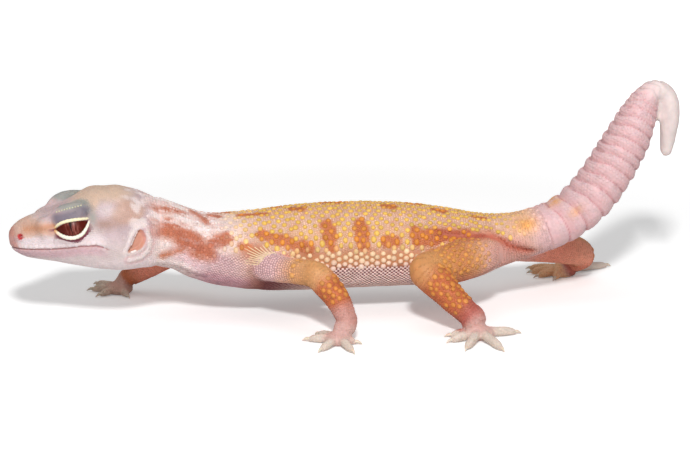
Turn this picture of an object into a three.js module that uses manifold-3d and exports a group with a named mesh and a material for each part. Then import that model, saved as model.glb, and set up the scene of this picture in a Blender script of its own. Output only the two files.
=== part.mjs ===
// A standing leopard gecko, life size: head level, trunk straight, the ringed tail lifted and hooked over
// at its tip. Millimetres, +Z up, head towards -X, left flank towards -Y, the feet's soles on Z = 0.
import * as THREE from "three";
import { mergeVertices } from "three/addons/utils/BufferGeometryUtils.js";
import Module from "manifold-3d";

const wasm = await Module();
wasm.setup();

// ---- driving dimensions -------------------------------------------------------------------------------

const GAP = 0.3; // clear space left where one piece of the body meets the next
const CLAW_GAP = 0.15; // the same at the root of each claw
const EYE_RADIUS = 4.4;
const EYE_LEFT = [-65.4, -7.9, 25.9]; // centre of the left eyeball
const EYE_RIGHT = [-65.4, 2.9, 25.9];
const LID_THICKNESS = 0.55;
const FINEST = 0.26; // detail smaller than this is merged away
const ARM_SIDES = 10; // facets round a limb
const TOE_SIDES = 6;
const CLAW_SIDES = 5;
const DOME_RINGS = 2; // rings of facets in each rounded end

// Snout to tail. Each row is a cross-section: centre x, y, z, then half its width, its height above the
// centre, its depth below, and its squareness (2 is an ellipse, more is boxier).
const BODY = [
  [-80.4, -3.0, 21.9, 0.4, 0.5, 0.5, 2.0], // snout tip
  [-79.9, -3.0, 22.0, 2.0, 2.4, 1.9, 2.0],
  [-78.8, -2.9, 22.1, 3.5, 3.7, 3.1, 2.1],
  [-76.6, -2.8, 22.2, 5.0, 5.1, 4.2, 2.3],
  [-73.0, -2.7, 22.1, 6.3, 6.5, 4.75, 2.4],
  [-69.5, -2.6, 21.9, 7.3, 7.8, 5.1, 2.4], // front of the eyes
  [-66.0, -2.5, 21.6, 8.6, 10.2, 5.5, 2.4],
  [-62.0, -2.3, 21.2, 10.1, 12.75, 5.9, 2.4],
  [-58.0, -2.1, 20.9, 10.9, 12.95, 6.3, 2.4], // widest part of the jaws
  [-54.0, -1.8, 20.7, 10.9, 13.2, 6.6, 2.3],
  [-49.5, -1.3, 20.8, 9.6, 11.9, 6.7, 2.2], // ears
  [-45.0, -0.9, 20.8, 8.3, 9.7, 7.0, 2.1],
  [-40.0, -0.5, 19.8, 7.8, 8.3, 7.3, 2.0], // neck
  [-35.0, 0.0, 18.2, 8.2, 8.2, 8.3, 2.0],
  [-29.0, 0.4, 17.0, 9.4, 8.8, 9.2, 2.0],
  [-20.0, 1.2, 16.2, 10.7, 9.8, 9.9, 2.0], // shoulders
  [-10.0, 2.0, 15.9, 11.5, 10.7, 10.2, 2.0],
  [2.0, 2.6, 15.7, 12.1, 10.8, 10.1, 2.0],
  [13.0, 2.3, 15.6, 12.0, 10.4, 9.9, 2.0], // fullest part of the belly
  [23.0, 1.6, 15.5, 11.1, 9.3, 9.7, 2.0],
  [31.0, 0.8, 15.8, 9.8, 7.6, 8.7, 2.0],
  [37.5, 0.2, 16.8, 8.4, 6.0, 7.0, 2.0], // hips
  [43.5, 0.0, 17.9, 6.9, 5.4, 6.2, 2.0], // root of the tail
  [49.0, 0.0, 19.3, 6.9, 5.4, 6.1, 2.0],
  [54.2, 0.1, 21.8, 7.2, 5.4, 6.2, 2.0],
  [58.6, 0.2, 25.2, 7.3, 5.5, 6.4, 2.0], // fattest part of the tail
  [62.3, 0.4, 29.7, 7.2, 5.5, 6.6, 2.0],
  [65.7, 0.6, 35.0, 7.0, 5.3, 6.5, 2.0],
  [68.9, 0.8, 40.6, 6.5, 5.0, 6.2, 2.0],
  [71.4, 1.0, 45.6, 5.6, 4.4, 5.2, 2.0],
  [73.2, 1.2, 49.2, 4.3, 3.6, 3.8, 2.0],
];

// Where each length of the body starts and ends, counted in rows of the table above.
const LENGTHS = [
  { name: "head", from: 0, to: 10.5, rings: 14, sides: 20, slot: "head_skin" },
  { name: "neck", from: 10.5, to: 13.6, rings: 5, sides: 20, slot: "back_skin" },
  { name: "chest", from: 13.6, to: 16.2, rings: 5, sides: 20, slot: "back_skin" },
  { name: "belly", from: 16.2, to: 19.2, rings: 5, sides: 20, slot: "back_skin" },
  { name: "hips", from: 19.2, to: 22.2, rings: 6, sides: 20, slot: "back_skin" },
  { name: "tail_base", from: 22.2, to: 24.6, rings: 5, sides: 18, slot: "tail_skin" },
  { name: "tail_middle", from: 24.6, to: 27.2, rings: 5, sides: 18, slot: "tail_skin" },
  { name: "tail_end", from: 27.2, to: 29.5, rings: 5, sides: 18, slot: "tail_skin" },
];

// The hooked end of the tail, in two halves that meet at the top of the bend: x, y, z, radius.
const HOOK_RISE = [[71.2, 1.0, 45.2, 5.2], [72.6, 1.2, 48.3, 4.3], [74.2, 1.3, 50.6, 3.5], [76.4, 1.35, 51.4, 2.9]];
const HOOK_FALL = [
  [76.4, 1.35, 51.4, 2.9],
  [78.7, 1.4, 50.4, 2.7],
  [79.8, 1.5, 47.4, 2.6],
  [79.9, 1.5, 43.6, 2.4],
  [79.5, 1.5, 39.4, 2.0],
  [79.2, 1.5, 36.3, 1.35],
];

// Limbs, from inside the trunk outwards: x, y, z, radius. The first list of each ends at the elbow or knee.
const LIMBS = {
  front_left: {
    upper: [[-22.0, -3.0, 14.5, 4.2], [-18.6, -9.5, 14.6, 3.7], [-14.4, -14.2, 14.7, 3.2], [-10.0, -18.0, 14.8, 3.5]],
    lower: [[-10.0, -18.0, 14.8, 3.5], [-7.2, -20.4, 12.2, 3.4], [-4.6, -22.6, 8.6, 3.0], [-3.4, -24.3, 4.9, 2.75]],
    palm: [-5.6, -26.0],
    toes: [[-61, 7.6], [-22, 7.2], [49, 7.4], [104, 8.0], [162, 3.8]],
  },
  front_right: {
    upper: [[-24.0, 3.0, 15.0, 4.2], [-28.0, 9.0, 13.9, 4.0], [-32.4, 13.4, 12.9, 3.7], [-37.2, 17.0, 12.4, 3.5]],
    lower: [[-37.2, 17.0, 12.4, 3.5], [-41.8, 19.6, 10.0, 3.2], [-46.6, 22.2, 6.9, 2.8], [-50.2, 24.2, 4.2, 2.4]],
    palm: [-52.4, 24.8],
    toes: [[-108, 4.6], [-30, 5.6], [18, 6.8], [54, 8.6], [104, 8.2]],
  },
  hind_left: {
    upper: [[35.0, -2.5, 15.5, 5.0], [29.5, -9.5, 15.2, 5.2], [22.0, -15.0, 14.8, 4.8], [16.1, -18.6, 14.8, 4.2]],
    lower: [[16.1, -18.6, 14.8, 4.2], [19.2, -20.8, 11.8, 4.0], [22.7, -23.0, 8.0, 3.4], [26.1, -25.0, 4.9, 3.2]],
    palm: [27.6, -26.8],
    toes: [[-14, 6.6], [20, 7.4], [62, 9.9], [106, 11.2], [190, 9.2]],
  },
  hind_right: {
    upper: [[38.0, 2.5, 15.0, 4.8], [45.0, 8.0, 13.2, 4.8], [53.0, 12.0, 11.0, 4.4], [60.4, 15.2, 8.6, 3.9]],
    lower: [[60.4, 15.2, 8.6, 3.9], [62.8, 18.0, 6.4, 3.4], [62.4, 20.6, 4.6, 2.9], [60.8, 22.2, 3.2, 2.4]],
    palm: [59.2, 23.2],
    toes: [[-56, 5.0], [-14, 6.6], [16, 7.6], [40, 9.0], [157, 14.0]],
  },
};
const LIMB_WORDS = { front: ["upper_arm", "forearm", "hand"], hind: ["thigh", "shin", "foot"] };

// A toe from root to tip: share of its length, radius, and height of its centre line over the ground.
const TOE = [[0.1, 1.6, 1.5], [0.36, 1.5, 1.45], [0.62, 1.38, 1.25], [0.84, 1.12, 0.95], [0.95, 0.78, 0.66]];
const TOE_WIDTH = { front: 0.92, hind: 1 };
const PALM_RADII = { front: [3.3, 2.9, 2.0], hind: [3.5, 3.0, 2.2] };
// A claw from root to tip: distance beyond the toe's last centre, radius, height.
const CLAW = [[0.25, 0.42, 0.8], [0.9, 0.36, 0.77], [1.45, 0.22, 0.52], [1.85, 0.1, 0.28]];

// ---- shapes ---------------------------------------------------------------------------------------------

const vector = (list) => new THREE.Vector3(list[0], list[1], list[2]);

// A smooth curve through every row of a table, read at a row number that may lie between rows.
function curveThrough(rows, columns) {
  const points = rows.map((row) => new THREE.Vector3(...columns.map((column) => row[column] ?? 0)));
  const curve = new THREE.CatmullRomCurve3(points, false, "catmullrom", 0.5);
  return {
    at: (row) => curve.getPoint(row / (rows.length - 1)),
    heading: (row) => curve.getTangent(row / (rows.length - 1)),
  };
}

// A closed solid from a three.js geometry.
function solid(geometry) {
  geometry.deleteAttribute("normal");
  geometry.deleteAttribute("uv");
  const welded = mergeVertices(geometry, 1e-5);
  return new wasm.Manifold(
    new wasm.Mesh({
      numProp: 3,
      vertProperties: new Float32Array(welded.attributes.position.array),
      triVerts: new Uint32Array(welded.index.array),
    }),
  );
}

const join = (solids) => solids.reduce((whole, next) => whole.add(next));

// The pieces a cut leaves, largest first.
function piecesOf(whole) {
  return whole.simplify(FINEST).decompose().sort((a, b) => b.volume() - a.volume());
}

const bodyPath = curveThrough(BODY, [0, 1, 2]);
const bodySize = curveThrough(BODY, [3, 4, 5]);
const bodySquareness = curveThrough(BODY, [6, 7, 8]);

const power = (value, exponent) => Math.sign(value) * Math.abs(value) ** exponent;

// The body's skin at one row, at an angle counted from the right flank up over the back.
function bodyPoint(row, angle, grow) {
  const ahead = bodyPath.heading(row);
  const side = new THREE.Vector3(0, 1, 0).addScaledVector(ahead, -ahead.y).normalize();
  const up = new THREE.Vector3().crossVectors(ahead, side);
  const size = bodySize.at(row);
  const exponent = 2 / bodySquareness.at(row).x;
  const height = Math.sin(angle) > 0 ? size.y : size.z;
  return bodyPath
    .at(row)
    .addScaledVector(side, (size.x + grow) * power(Math.cos(angle), exponent))
    .addScaledVector(up, (height + grow) * power(Math.sin(angle), exponent));
}

// One length of the body with flat ends. It is a sphere's mesh with each row moved on to a cross-section
// and the two poles to the middles of the end faces.
function bodyLength(from, to, rings, sides, grow = 0) {
  const geometry = new THREE.SphereGeometry(1, sides, rings + 2);
  const position = geometry.attributes.position;
  for (let i = 0; i < position.count; i += 1) {
    const ring = Math.floor(i / (sides + 1));
    const angle = (-2 * Math.PI * (i % (sides + 1))) / sides;
    const share = THREE.MathUtils.clamp((ring - 1) / rings, 0, 1);
    const row = from + (to - from) * share;
    const pole = ring === 0 || ring === rings + 2;
    const point = pole ? bodyPath.at(row) : bodyPoint(row, angle, grow);
    position.setXYZ(i, point.x, point.y, point.z);
  }
  return solid(geometry);
}

// How many rows of the table a distance along the body spans.
function rowsFor(distance, row) {
  const step = 0.01;
  return (distance * 2 * step) / bodyPath.at(row + step).distanceTo(bodyPath.at(row - step));
}

// A round tube with domed ends along a list of x, y, z, radius. Also a sphere's mesh: the rows near its
// poles become the domes and the rest are spread along the tube.
function tube(points, rings, sides, grow = 0) {
  const path = curveThrough(points, [0, 1, 2]);
  const radius = curveThrough(points, [3, 4, 5]);
  const last = rings + 2 * DOME_RINGS;
  const geometry = new THREE.SphereGeometry(1, sides, last);
  const position = geometry.attributes.position;
  const reference = new THREE.Vector3(0.3, 0.2, 1).normalize();
  for (let i = 0; i < position.count; i += 1) {
    const ring = Math.floor(i / (sides + 1));
    const angle = (-2 * Math.PI * (i % (sides + 1))) / sides;
    const share = THREE.MathUtils.clamp((ring - DOME_RINGS) / rings, 0, 1);
    const row = share * (points.length - 1);
    const startDome = Math.min(ring - DOME_RINGS, 0) / DOME_RINGS;
    const endDome = Math.max(ring - DOME_RINGS - rings, 0) / DOME_RINGS;
    const tilt = ((startDome + endDome) * Math.PI) / 2;
    const ahead = path.heading(row);
    const side = new THREE.Vector3().crossVectors(reference, ahead).normalize();
    const up = new THREE.Vector3().crossVectors(ahead, side);
    const reach = radius.at(row).x + grow;
    const point = path
      .at(row)
      .addScaledVector(ahead, reach * Math.sin(tilt))
      .addScaledVector(side, reach * Math.cos(tilt) * Math.cos(angle))
      .addScaledVector(up, reach * Math.cos(tilt) * Math.sin(angle));
    position.setXYZ(i, point.x, point.y, point.z);
  }
  return solid(geometry);
}

// A ball stretched to three radii, turned about Y and then Z, and set down at a centre.
function ball(centre, radii, turnY = 0, turnZ = 0, sides = 10) {
  const geometry = new THREE.SphereGeometry(1, sides, Math.round(sides * 0.7));
  geometry.scale(...radii);
  geometry.rotateY(THREE.MathUtils.degToRad(turnY));
  geometry.rotateZ(THREE.MathUtils.degToRad(turnZ));
  geometry.translate(...centre);
  return solid(geometry);
}

// A thin blade used to part the jaws: a box whose floor and roof follow a line seen from the side.
function blade(line) {
  const geometry = new THREE.BoxGeometry(1, 40, GAP, line.length - 1, 1, 1);
  const position = geometry.attributes.position;
  for (let i = 0; i < position.count; i += 1) {
    const [x, z] = line[Math.round((position.getX(i) + 0.5) * (line.length - 1))];
    position.setXYZ(i, x, position.getY(i), z + position.getZ(i));
  }
  return solid(geometry);
}

// ---- the head -------------------------------------------------------------------------------------------

// The gape from beyond the chin to the corner of the mouth, then down behind the jaw to the throat: x, z.
const GAPE = [[-84, 20.6], [-79.7, 20.9], [-78, 21.0], [-69, 21.5], [-62, 22.2], [-58.4, 21.7], [-57.2, 21.0]];
const JAW_BACK = [[-57.6, 21.2], [-56.0, 17.5], [-53.5, 12.0]];

function headWhole() {
  const [from, to] = [LENGTHS[0].from, LENGTHS[0].to - rowsFor(GAP / 2, 10.5)];
  const parts = [bodyLength(from, to, LENGTHS[0].rings, LENGTHS[0].sides)];
  for (const [centre, side] of [[EYE_LEFT, -1], [EYE_RIGHT, 1]]) {
    const lid = EYE_RADIUS + LID_THICKNESS;
    parts.push(ball(centre, [lid + 0.5, lid, lid], 12, 0));
    // the brow, a low ridge over the eye that fades backwards on to the crown
    parts.push(ball([-64.5, centre[1] + side * 0.7, 27.2], [7.2, 3.1, 5.0], 4, side * 6));
    // the cheek in front of the eye
    parts.push(ball([-70.3, -2.5 + side * 5.0, 25.0], [4.5, 3.1, 3.7], 20, side * 12));
    // the swelling of the jaw muscles behind the eye
    parts.push(ball([-56.2, -2.1 + side * 6.6, 22.6], [5.6, 4.9, 6.2]));
  }
  return join(parts);
}

function headPieces() {
  let head = headWhole();
  for (const [centre, side] of [[EYE_LEFT, -1], [EYE_RIGHT, 1]]) {
    head = head.subtract(ball(centre, [EYE_RADIUS + GAP, EYE_RADIUS + GAP, EYE_RADIUS + GAP]));
    // the opening between the lids
    head = head.subtract(ball([-65.7, centre[1] + side * 4.0, 26.2], [4.0, 2.6, 1.9], -17, 0));
    // ear and nostril
    head = head.subtract(ball([-50.7, -1.6 + side * 9.8, 22.4], [1.4, 1.3, 2.5], -22, 0, 8));
    head = head.subtract(ball([-78.0, -2.9 + side * 3.9, 24.0], [0.5, 0.5, 0.6], 0, 0, 6));
  }
  head = head.subtract(blade(GAPE)).subtract(blade(JAW_BACK));
  return piecesOf(head);
}

// ---- limbs ----------------------------------------------------------------------------------------------

function toePath(leg, index) {
  const { palm, toes } = LIMBS[leg];
  const width = TOE_WIDTH[leg.split("_")[0]];
  const outward = leg.endsWith("left") ? -1 : 1;
  const [degrees, length] = toes[index];
  const angle = THREE.MathUtils.degToRad(degrees);
  const forward = [-Math.cos(angle), outward * Math.sin(angle)];
  const place = (distance) => [palm[0] + forward[0] * distance, palm[1] + forward[1] * distance];
  return { place, length, width };
}

function paw(leg) {
  const { lower, palm, toes } = LIMBS[leg];
  const wrist = lower[lower.length - 1];
  const parts = [
    ball([palm[0], palm[1], 1.2], PALM_RADII[leg.split("_")[0]]),
    tube([wrist, [(wrist[0] + palm[0]) / 2, (wrist[1] + palm[1]) / 2, 3.0, wrist[3] * 0.92], [...palm, 1.9, 1.9]],
      2, ARM_SIDES),
  ];
  toes.forEach((_, index) => {
    const { place, length, width } = toePath(leg, index);
    const points = TOE.map(([share, radius, height]) => [...place(share * length), height * width, radius * width]);
    parts.push(tube(points, 2, TOE_SIDES));
  });
  return join(parts);
}

// A claw is cut off square just clear of the toe's rounded end.
function claw(leg, index) {
  const { place, length, width } = toePath(leg, index);
  const [lastShare, lastRadius] = TOE[TOE.length - 1];
  const end = lastShare * length;
  const root = end + lastRadius * width + CLAW_GAP;
  const [fromX, fromY] = place(0);
  const [x, y] = place(root);
  const ahead = [(x - fromX) / root, (y - fromY) / root, 0];
  const whole = tube(CLAW.map(([beyond, radius, height]) => [...place(end + beyond), height, radius]), 2, CLAW_SIDES);
  return whole.trimByPlane(ahead, ahead[0] * x + ahead[1] * y);
}

// ---- the whole animal -----------------------------------------------------------------------------------

const COLOURS = {
  head_skin: 0xd9a38c,
  back_skin: 0xd99a4e,
  limb_skin: 0xd98b4f,
  tail_skin: 0xe6b3ab,
  eye: 0x3a0f0c,
  claw: 0xd8c9b4,
};
const group = new THREE.Group();

function addNode(name, slot, shape) {
  const { vertProperties, triVerts } = shape.getMesh();
  const geometry = new THREE.BufferGeometry();
  geometry.setAttribute("position", new THREE.BufferAttribute(new Float32Array(vertProperties), 3));
  geometry.setIndex(new THREE.BufferAttribute(new Uint32Array(triVerts), 1));
  const mesh = new THREE.Mesh(geometry, new THREE.MeshStandardMaterial({ color: COLOURS[slot], name: slot }));
  mesh.name = name;
  group.add(mesh);
}

const [head, lowerJaw] = headPieces();
addNode("head", "head_skin", head);
addNode("lower_jaw", "head_skin", lowerJaw);
addNode("eye_left", "eye", ball(EYE_LEFT, [EYE_RADIUS, EYE_RADIUS, EYE_RADIUS], 0, 0, 12));
addNode("eye_right", "eye", ball(EYE_RIGHT, [EYE_RADIUS, EYE_RADIUS, EYE_RADIUS], 0, 0, 12));

for (const { name, from, to, rings, sides, slot } of LENGTHS.slice(1)) {
  const start = from + rowsFor(GAP / 2, from);
  const end = to - rowsFor(GAP / 2, to);
  addNode(name, slot, bodyLength(start, end, rings, sides));
}

const tailEnd = LENGTHS[LENGTHS.length - 1];
const beforeHook = bodyLength(tailEnd.from, tailEnd.to + rowsFor(GAP / 2, tailEnd.to), 5, 18, GAP);
const hook = tube(HOOK_RISE, 3, 10).add(tube(HOOK_FALL, 6, 10)).subtract(beforeHook);
addNode("tail_tip", "tail_skin", piecesOf(hook)[0]);

const trunkGrown = bodyLength(11, 25, 24, 28, GAP);
const ground = solid(new THREE.BoxGeometry(300, 200, 20).translate(0, 0, -10));
for (const [leg, { upper, lower, toes }] of Object.entries(LIMBS)) {
  const [upperWord, lowerWord, pawWord] = LIMB_WORDS[leg.split("_")[0]];
  const upperLimb = tube(upper, 5, ARM_SIDES).subtract(trunkGrown);
  const lowerLimb = tube(lower, 5, ARM_SIDES).subtract(tube(upper, 5, ARM_SIDES, GAP)).subtract(trunkGrown);
  const pawSolid = paw(leg).subtract(tube(lower, 5, ARM_SIDES, GAP)).subtract(ground);
  addNode(`${leg}_${upperWord}`, "limb_skin", piecesOf(upperLimb)[0]);
  addNode(`${leg}_${lowerWord}`, "limb_skin", piecesOf(lowerLimb)[0]);
  addNode(`${leg}_${pawWord}`, "limb_skin", piecesOf(pawSolid)[0]);
  toes.forEach((_, index) => {
    addNode(`${leg}_claw_${index + 1}`, "claw", claw(leg, index));
  });
}

// Stand the model over the origin: the middle of its plan at X = Y = 0, its soles at Z = 0.
const bounds = new THREE.Box3().setFromObject(group);
const middle = bounds.getCenter(new THREE.Vector3());
for (const mesh of group.children) {
  mesh.geometry.translate(-middle.x, -middle.y, -bounds.min.z);
}

export default group;
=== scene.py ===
# %% [markdown]
# # A leopard gecko, life size
#
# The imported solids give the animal's pose, proportions and hard parts. This lesson wraps them in one
# continuous skin, grows the scales on it one by one, and sets the eyes and the claws. Everything is worked
# out in millimetres (head towards -X, left flank towards -Y, soles on Z = 0) and is turned into metres only
# when a piece is finished.

import bmesh
import bpy
import numpy as np
from mathutils import Matrix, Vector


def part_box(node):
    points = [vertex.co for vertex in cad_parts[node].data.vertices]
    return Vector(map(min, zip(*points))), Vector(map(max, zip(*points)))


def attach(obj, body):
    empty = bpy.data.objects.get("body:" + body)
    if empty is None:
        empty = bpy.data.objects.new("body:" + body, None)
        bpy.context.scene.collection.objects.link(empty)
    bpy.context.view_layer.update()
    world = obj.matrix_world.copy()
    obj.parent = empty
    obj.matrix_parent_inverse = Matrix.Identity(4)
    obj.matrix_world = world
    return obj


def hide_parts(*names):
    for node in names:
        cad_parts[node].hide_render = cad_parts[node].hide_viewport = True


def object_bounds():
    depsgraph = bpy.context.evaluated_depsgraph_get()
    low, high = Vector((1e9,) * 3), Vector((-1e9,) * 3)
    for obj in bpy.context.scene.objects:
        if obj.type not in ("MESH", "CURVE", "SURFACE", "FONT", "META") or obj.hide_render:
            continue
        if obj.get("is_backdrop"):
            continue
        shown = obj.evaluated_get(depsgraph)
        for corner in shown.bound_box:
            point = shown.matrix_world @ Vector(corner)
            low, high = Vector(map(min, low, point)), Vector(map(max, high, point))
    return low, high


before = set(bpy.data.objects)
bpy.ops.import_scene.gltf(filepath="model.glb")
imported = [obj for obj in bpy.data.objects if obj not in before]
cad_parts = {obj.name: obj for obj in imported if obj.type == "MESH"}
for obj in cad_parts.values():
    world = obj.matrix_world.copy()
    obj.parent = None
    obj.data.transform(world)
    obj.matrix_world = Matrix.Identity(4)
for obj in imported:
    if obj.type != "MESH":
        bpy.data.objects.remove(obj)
CAD_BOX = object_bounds()
print("the solids span", [round(1000 * side, 1) for side in CAD_BOX[1] - CAD_BOX[0]], "mm")

# %% [markdown]
# ## Where things are
#
# The solids were worked out on a table of cross-sections and then moved so that the middle of the plan lies
# on the origin. The left eye tells how far they were moved, so the same table can be used here.

# %% Driving dimensions, in millimetres
EYE_RADIUS = 4.4
EYE_LEFT = np.array([-65.4, -7.9, 25.9])
EYE_GAP = 10.8  # from one eye's centre to the other's
MID_HEAD = EYE_LEFT[1] + EYE_GAP / 2  # the head's own middle plane
eye_low, eye_high = (np.array(corner) * 1000 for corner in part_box("eye_left"))
SHIFT = (eye_low + eye_high) / 2 - EYE_LEFT
SHIFT[2] = 0
TRUNK_DEPTH = 0.3  # how far the skin lies inside the solids on the trunk, tail and limbs
HEAD_DEPTH = 0.12
FOOT_DEPTH = 0.08
print("the solids were moved by", SHIFT.round(2), "mm")

# Centre x, y, z, half width, height above the centre, depth below it, squareness (2 is an ellipse).
BODY = np.array([
    (-80.4, -3, 21.9, 0.4, 0.5, 0.5, 2),  # snout tip
    (-79.9, -3, 22, 2, 2.4, 1.9, 2),
    (-78.8, -2.9, 22.1, 3.5, 3.7, 3.1, 2.1),
    (-76.6, -2.8, 22.2, 5, 5.1, 4.2, 2.3),
    (-73, -2.7, 22.1, 6.3, 6.5, 4.75, 2.4),
    (-69.5, -2.6, 21.9, 7.3, 7.8, 5.1, 2.4),  # front of the eyes
    (-66, -2.5, 21.6, 8.6, 10.2, 5.5, 2.4),
    (-62, -2.3, 21.2, 10.1, 12.75, 5.9, 2.4),
    (-58, -2.1, 20.9, 10.9, 12.95, 6.3, 2.4),  # widest part of the jaws
    (-54, -1.8, 20.7, 10.9, 13.2, 6.6, 2.3),
    (-49.5, -1.3, 20.8, 9.6, 11.9, 6.7, 2.2),  # ears
    (-45, -0.9, 20.8, 8.3, 9.7, 7, 2.1),
    (-40, -0.5, 19.8, 7.8, 8.3, 7.3, 2),  # neck
    (-35, 0, 18.2, 8.2, 8.2, 8.3, 2),
    (-29, 0.4, 17, 9.4, 8.8, 9.2, 2),
    (-20, 1.2, 16.2, 10.7, 9.8, 9.9, 2),  # shoulders
    (-10, 2, 15.9, 11.5, 10.7, 10.2, 2),
    (2, 2.6, 15.7, 12.1, 10.8, 10.1, 2),
    (13, 2.3, 15.6, 12, 10.4, 9.9, 2),  # fullest part of the belly
    (23, 1.6, 15.5, 11.1, 9.3, 9.7, 2),
    (31, 0.8, 15.8, 9.8, 7.6, 8.7, 2),
    (37.5, 0.2, 16.8, 8.4, 6, 7, 2),  # hips
    (43.5, 0, 17.9, 6.9, 5.4, 6.2, 2),  # root of the tail
    (49, 0, 19.3, 6.9, 5.4, 6.1, 2),
    (54.2, 0.1, 21.8, 7.2, 5.4, 6.2, 2),
    (58.6, 0.2, 25.2, 7.3, 5.5, 6.4, 2),  # fattest part of the tail
    (62.3, 0.4, 29.7, 7.2, 5.5, 6.6, 2),
    (65.7, 0.6, 35, 7, 5.3, 6.5, 2),
    (68.9, 0.8, 40.6, 6.5, 5, 6.2, 2),
    (71.4, 1, 45.6, 5.6, 4.4, 5.2, 2),
    (73.2, 1.2, 49.2, 4.3, 3.6, 3.8, 2),
    (75.2, 1.3, 51.6, 3.3, 2.8, 2.8, 2),  # top of the hook
    (77.7, 1.4, 51.6, 2.8, 2.5, 2.5, 2),
    (79.5, 1.5, 49.2, 2.7, 2.5, 2.4, 2),
    (79.9, 1.5, 45.2, 2.5, 2.4, 2.4, 2),
    (79.6, 1.5, 40.4, 2.2, 2, 2, 2),
    (79.2, 1.5, 36.4, 1.5, 1.4, 1.4, 2),
    (79.1, 1.5, 35.2, 0.5, 0.5, 0.5, 2),  # tail tip
])

# Limbs from inside the trunk to the wrist or ankle: x, y, z, radius. The fourth row is the elbow or knee.
# Toes: degrees outwards from straight ahead, and length.
LEGS = {
    "front_left": {
        "chain": [(-22, -3, 14.5, 4.2), (-18.6, -9.5, 14.6, 3.7), (-14.4, -14.2, 14.7, 3.2),
                  (-10, -18, 14.8, 3.5), (-7.2, -20.4, 12.2, 3.4), (-4.6, -22.6, 8.6, 3),
                  (-3.4, -24.3, 4.9, 2.75)],
        "palm": (-5.6, -26),
        "toes": [(-61, 7.6), (-22, 7.2), (49, 7.4), (104, 8), (162, 3.8)],
    },
    "front_right": {
        "chain": [(-24, 3, 15, 4.2), (-28, 9, 13.9, 4), (-32.4, 13.4, 12.9, 3.7),
                  (-37.2, 17, 12.4, 3.5), (-41.8, 19.6, 10, 3.2), (-46.6, 22.2, 6.9, 2.8),
                  (-50.2, 24.2, 4.2, 2.4)],
        "palm": (-52.4, 24.8),
        "toes": [(-108, 4.6), (-30, 5.6), (18, 6.8), (54, 8.6), (104, 8.2)],
    },
    "hind_left": {
        "chain": [(35, -2.5, 15.5, 5), (29.5, -9.5, 15.2, 5.2), (22, -15, 14.8, 4.8),
                  (16.1, -18.6, 14.8, 4.2), (19.2, -20.8, 11.8, 4), (22.7, -23, 8, 3.4),
                  (26.1, -25, 4.9, 3.2)],
        "palm": (27.6, -26.8),
        "toes": [(-14, 6.6), (20, 7.4), (62, 9.9), (106, 11.2), (190, 9.2)],
    },
    "hind_right": {
        "chain": [(38, 2.5, 15, 4.8), (45, 8, 13.2, 4.8), (53, 12, 11, 4.4),
                  (60.4, 15.2, 8.6, 3.9), (62.8, 18, 6.4, 3.4), (62.4, 20.6, 4.6, 2.9),
                  (60.8, 22.2, 3.2, 2.4)],
        "palm": (59.2, 23.2),
        "toes": [(-56, 5), (-14, 6.6), (16, 7.6), (40, 9), (157, 14)],
    },
}
# A toe from root to tip: share of its length, radius, height of its centre line.
TOE = np.array([(0.1, 1.42, 1.45), (0.36, 1.18, 1.4), (0.62, 1.14, 1.15), (0.84, 1.04, 0.9),
                (0.95, 0.76, 0.66)])
TOE_WIDTH = {"front": 0.92, "hind": 1.0}
PALM_RADII = {"front": (3.3, 2.9, 2.0), "hind": (3.5, 3.0, 2.2)}
PALM_HEIGHT = 1.2
TOES = 5  # to each foot
# A claw from root to tip: distance beyond the toe's last centre, radius, height.
CLAW = np.array([(0.25, 0.42, 0.8), (0.9, 0.36, 0.77), (1.45, 0.22, 0.52), (1.85, 0.1, 0.28)])

# %% [markdown]
# ## Small tools
#
# Each tool works on whole arrays, which is much quicker than stepping through a mesh point by point. `spline`
# draws a smooth curve through the rows of a table, `smooth` is the soft step that blends one thing into the
# next, and `shell` gives the faces of any closed tube.


# %% Small tools
def unit(vectors):
    """Each vector divided by its length."""
    return vectors / np.maximum(np.linalg.norm(vectors, axis=-1, keepdims=True), 1e-9)


def smooth(low, high, value):
    """0 below low, 1 above high, and 3t² - 2t³ between them, t being the share of the way."""
    t = np.clip((np.asarray(value, float) - low) / (high - low), 0, 1)
    return t * t * (3 - 2 * t)


def fall(low, high, value):
    """The soft step turned round: 1 below low, 0 above high."""
    return 1 - smooth(low, high, value)


def between(start, full, fading, end, value):
    """1 from full to fading and 0 before start and after end, with a soft step at either side."""
    return smooth(start, full, value) * fall(fading, end, value)


def bell(value, centre, width):
    """A rounded bump: exp(-((value - centre) / width)²)."""
    return np.exp(-(((value - centre) / width) ** 2))


def spline(rows, at):
    """The Catmull-Rom curve through the rows of a table, read at row numbers that may lie between rows."""
    rows = np.asarray(rows, float)
    last = len(rows) - 1
    rows = np.vstack([2 * rows[0] - rows[1], rows, 2 * rows[-1] - rows[-2]])
    at = np.clip(np.asarray(at, float), 0, last)
    first = np.minimum(at.astype(int), last - 1)
    u = (at - first)[..., None]
    a, b, c, d = (rows[first + k] for k in range(4))
    return 0.5 * (2 * b + (c - a) * u + (2 * a - 5 * b + 4 * c - d) * u**2 + (3 * b - 3 * c + d - a) * u**3)


def square_to(heading):
    """Two directions square to each heading and to each other."""
    sideways = unit(np.cross([0.3, 0.2, 1.0], heading))
    return sideways, np.cross(heading, sideways)


def path_length(points):
    """The distance along a path at each of its points, starting from 0."""
    return np.concatenate([[0], np.cumsum(np.linalg.norm(np.diff(points, axis=0), axis=1))])


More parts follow.
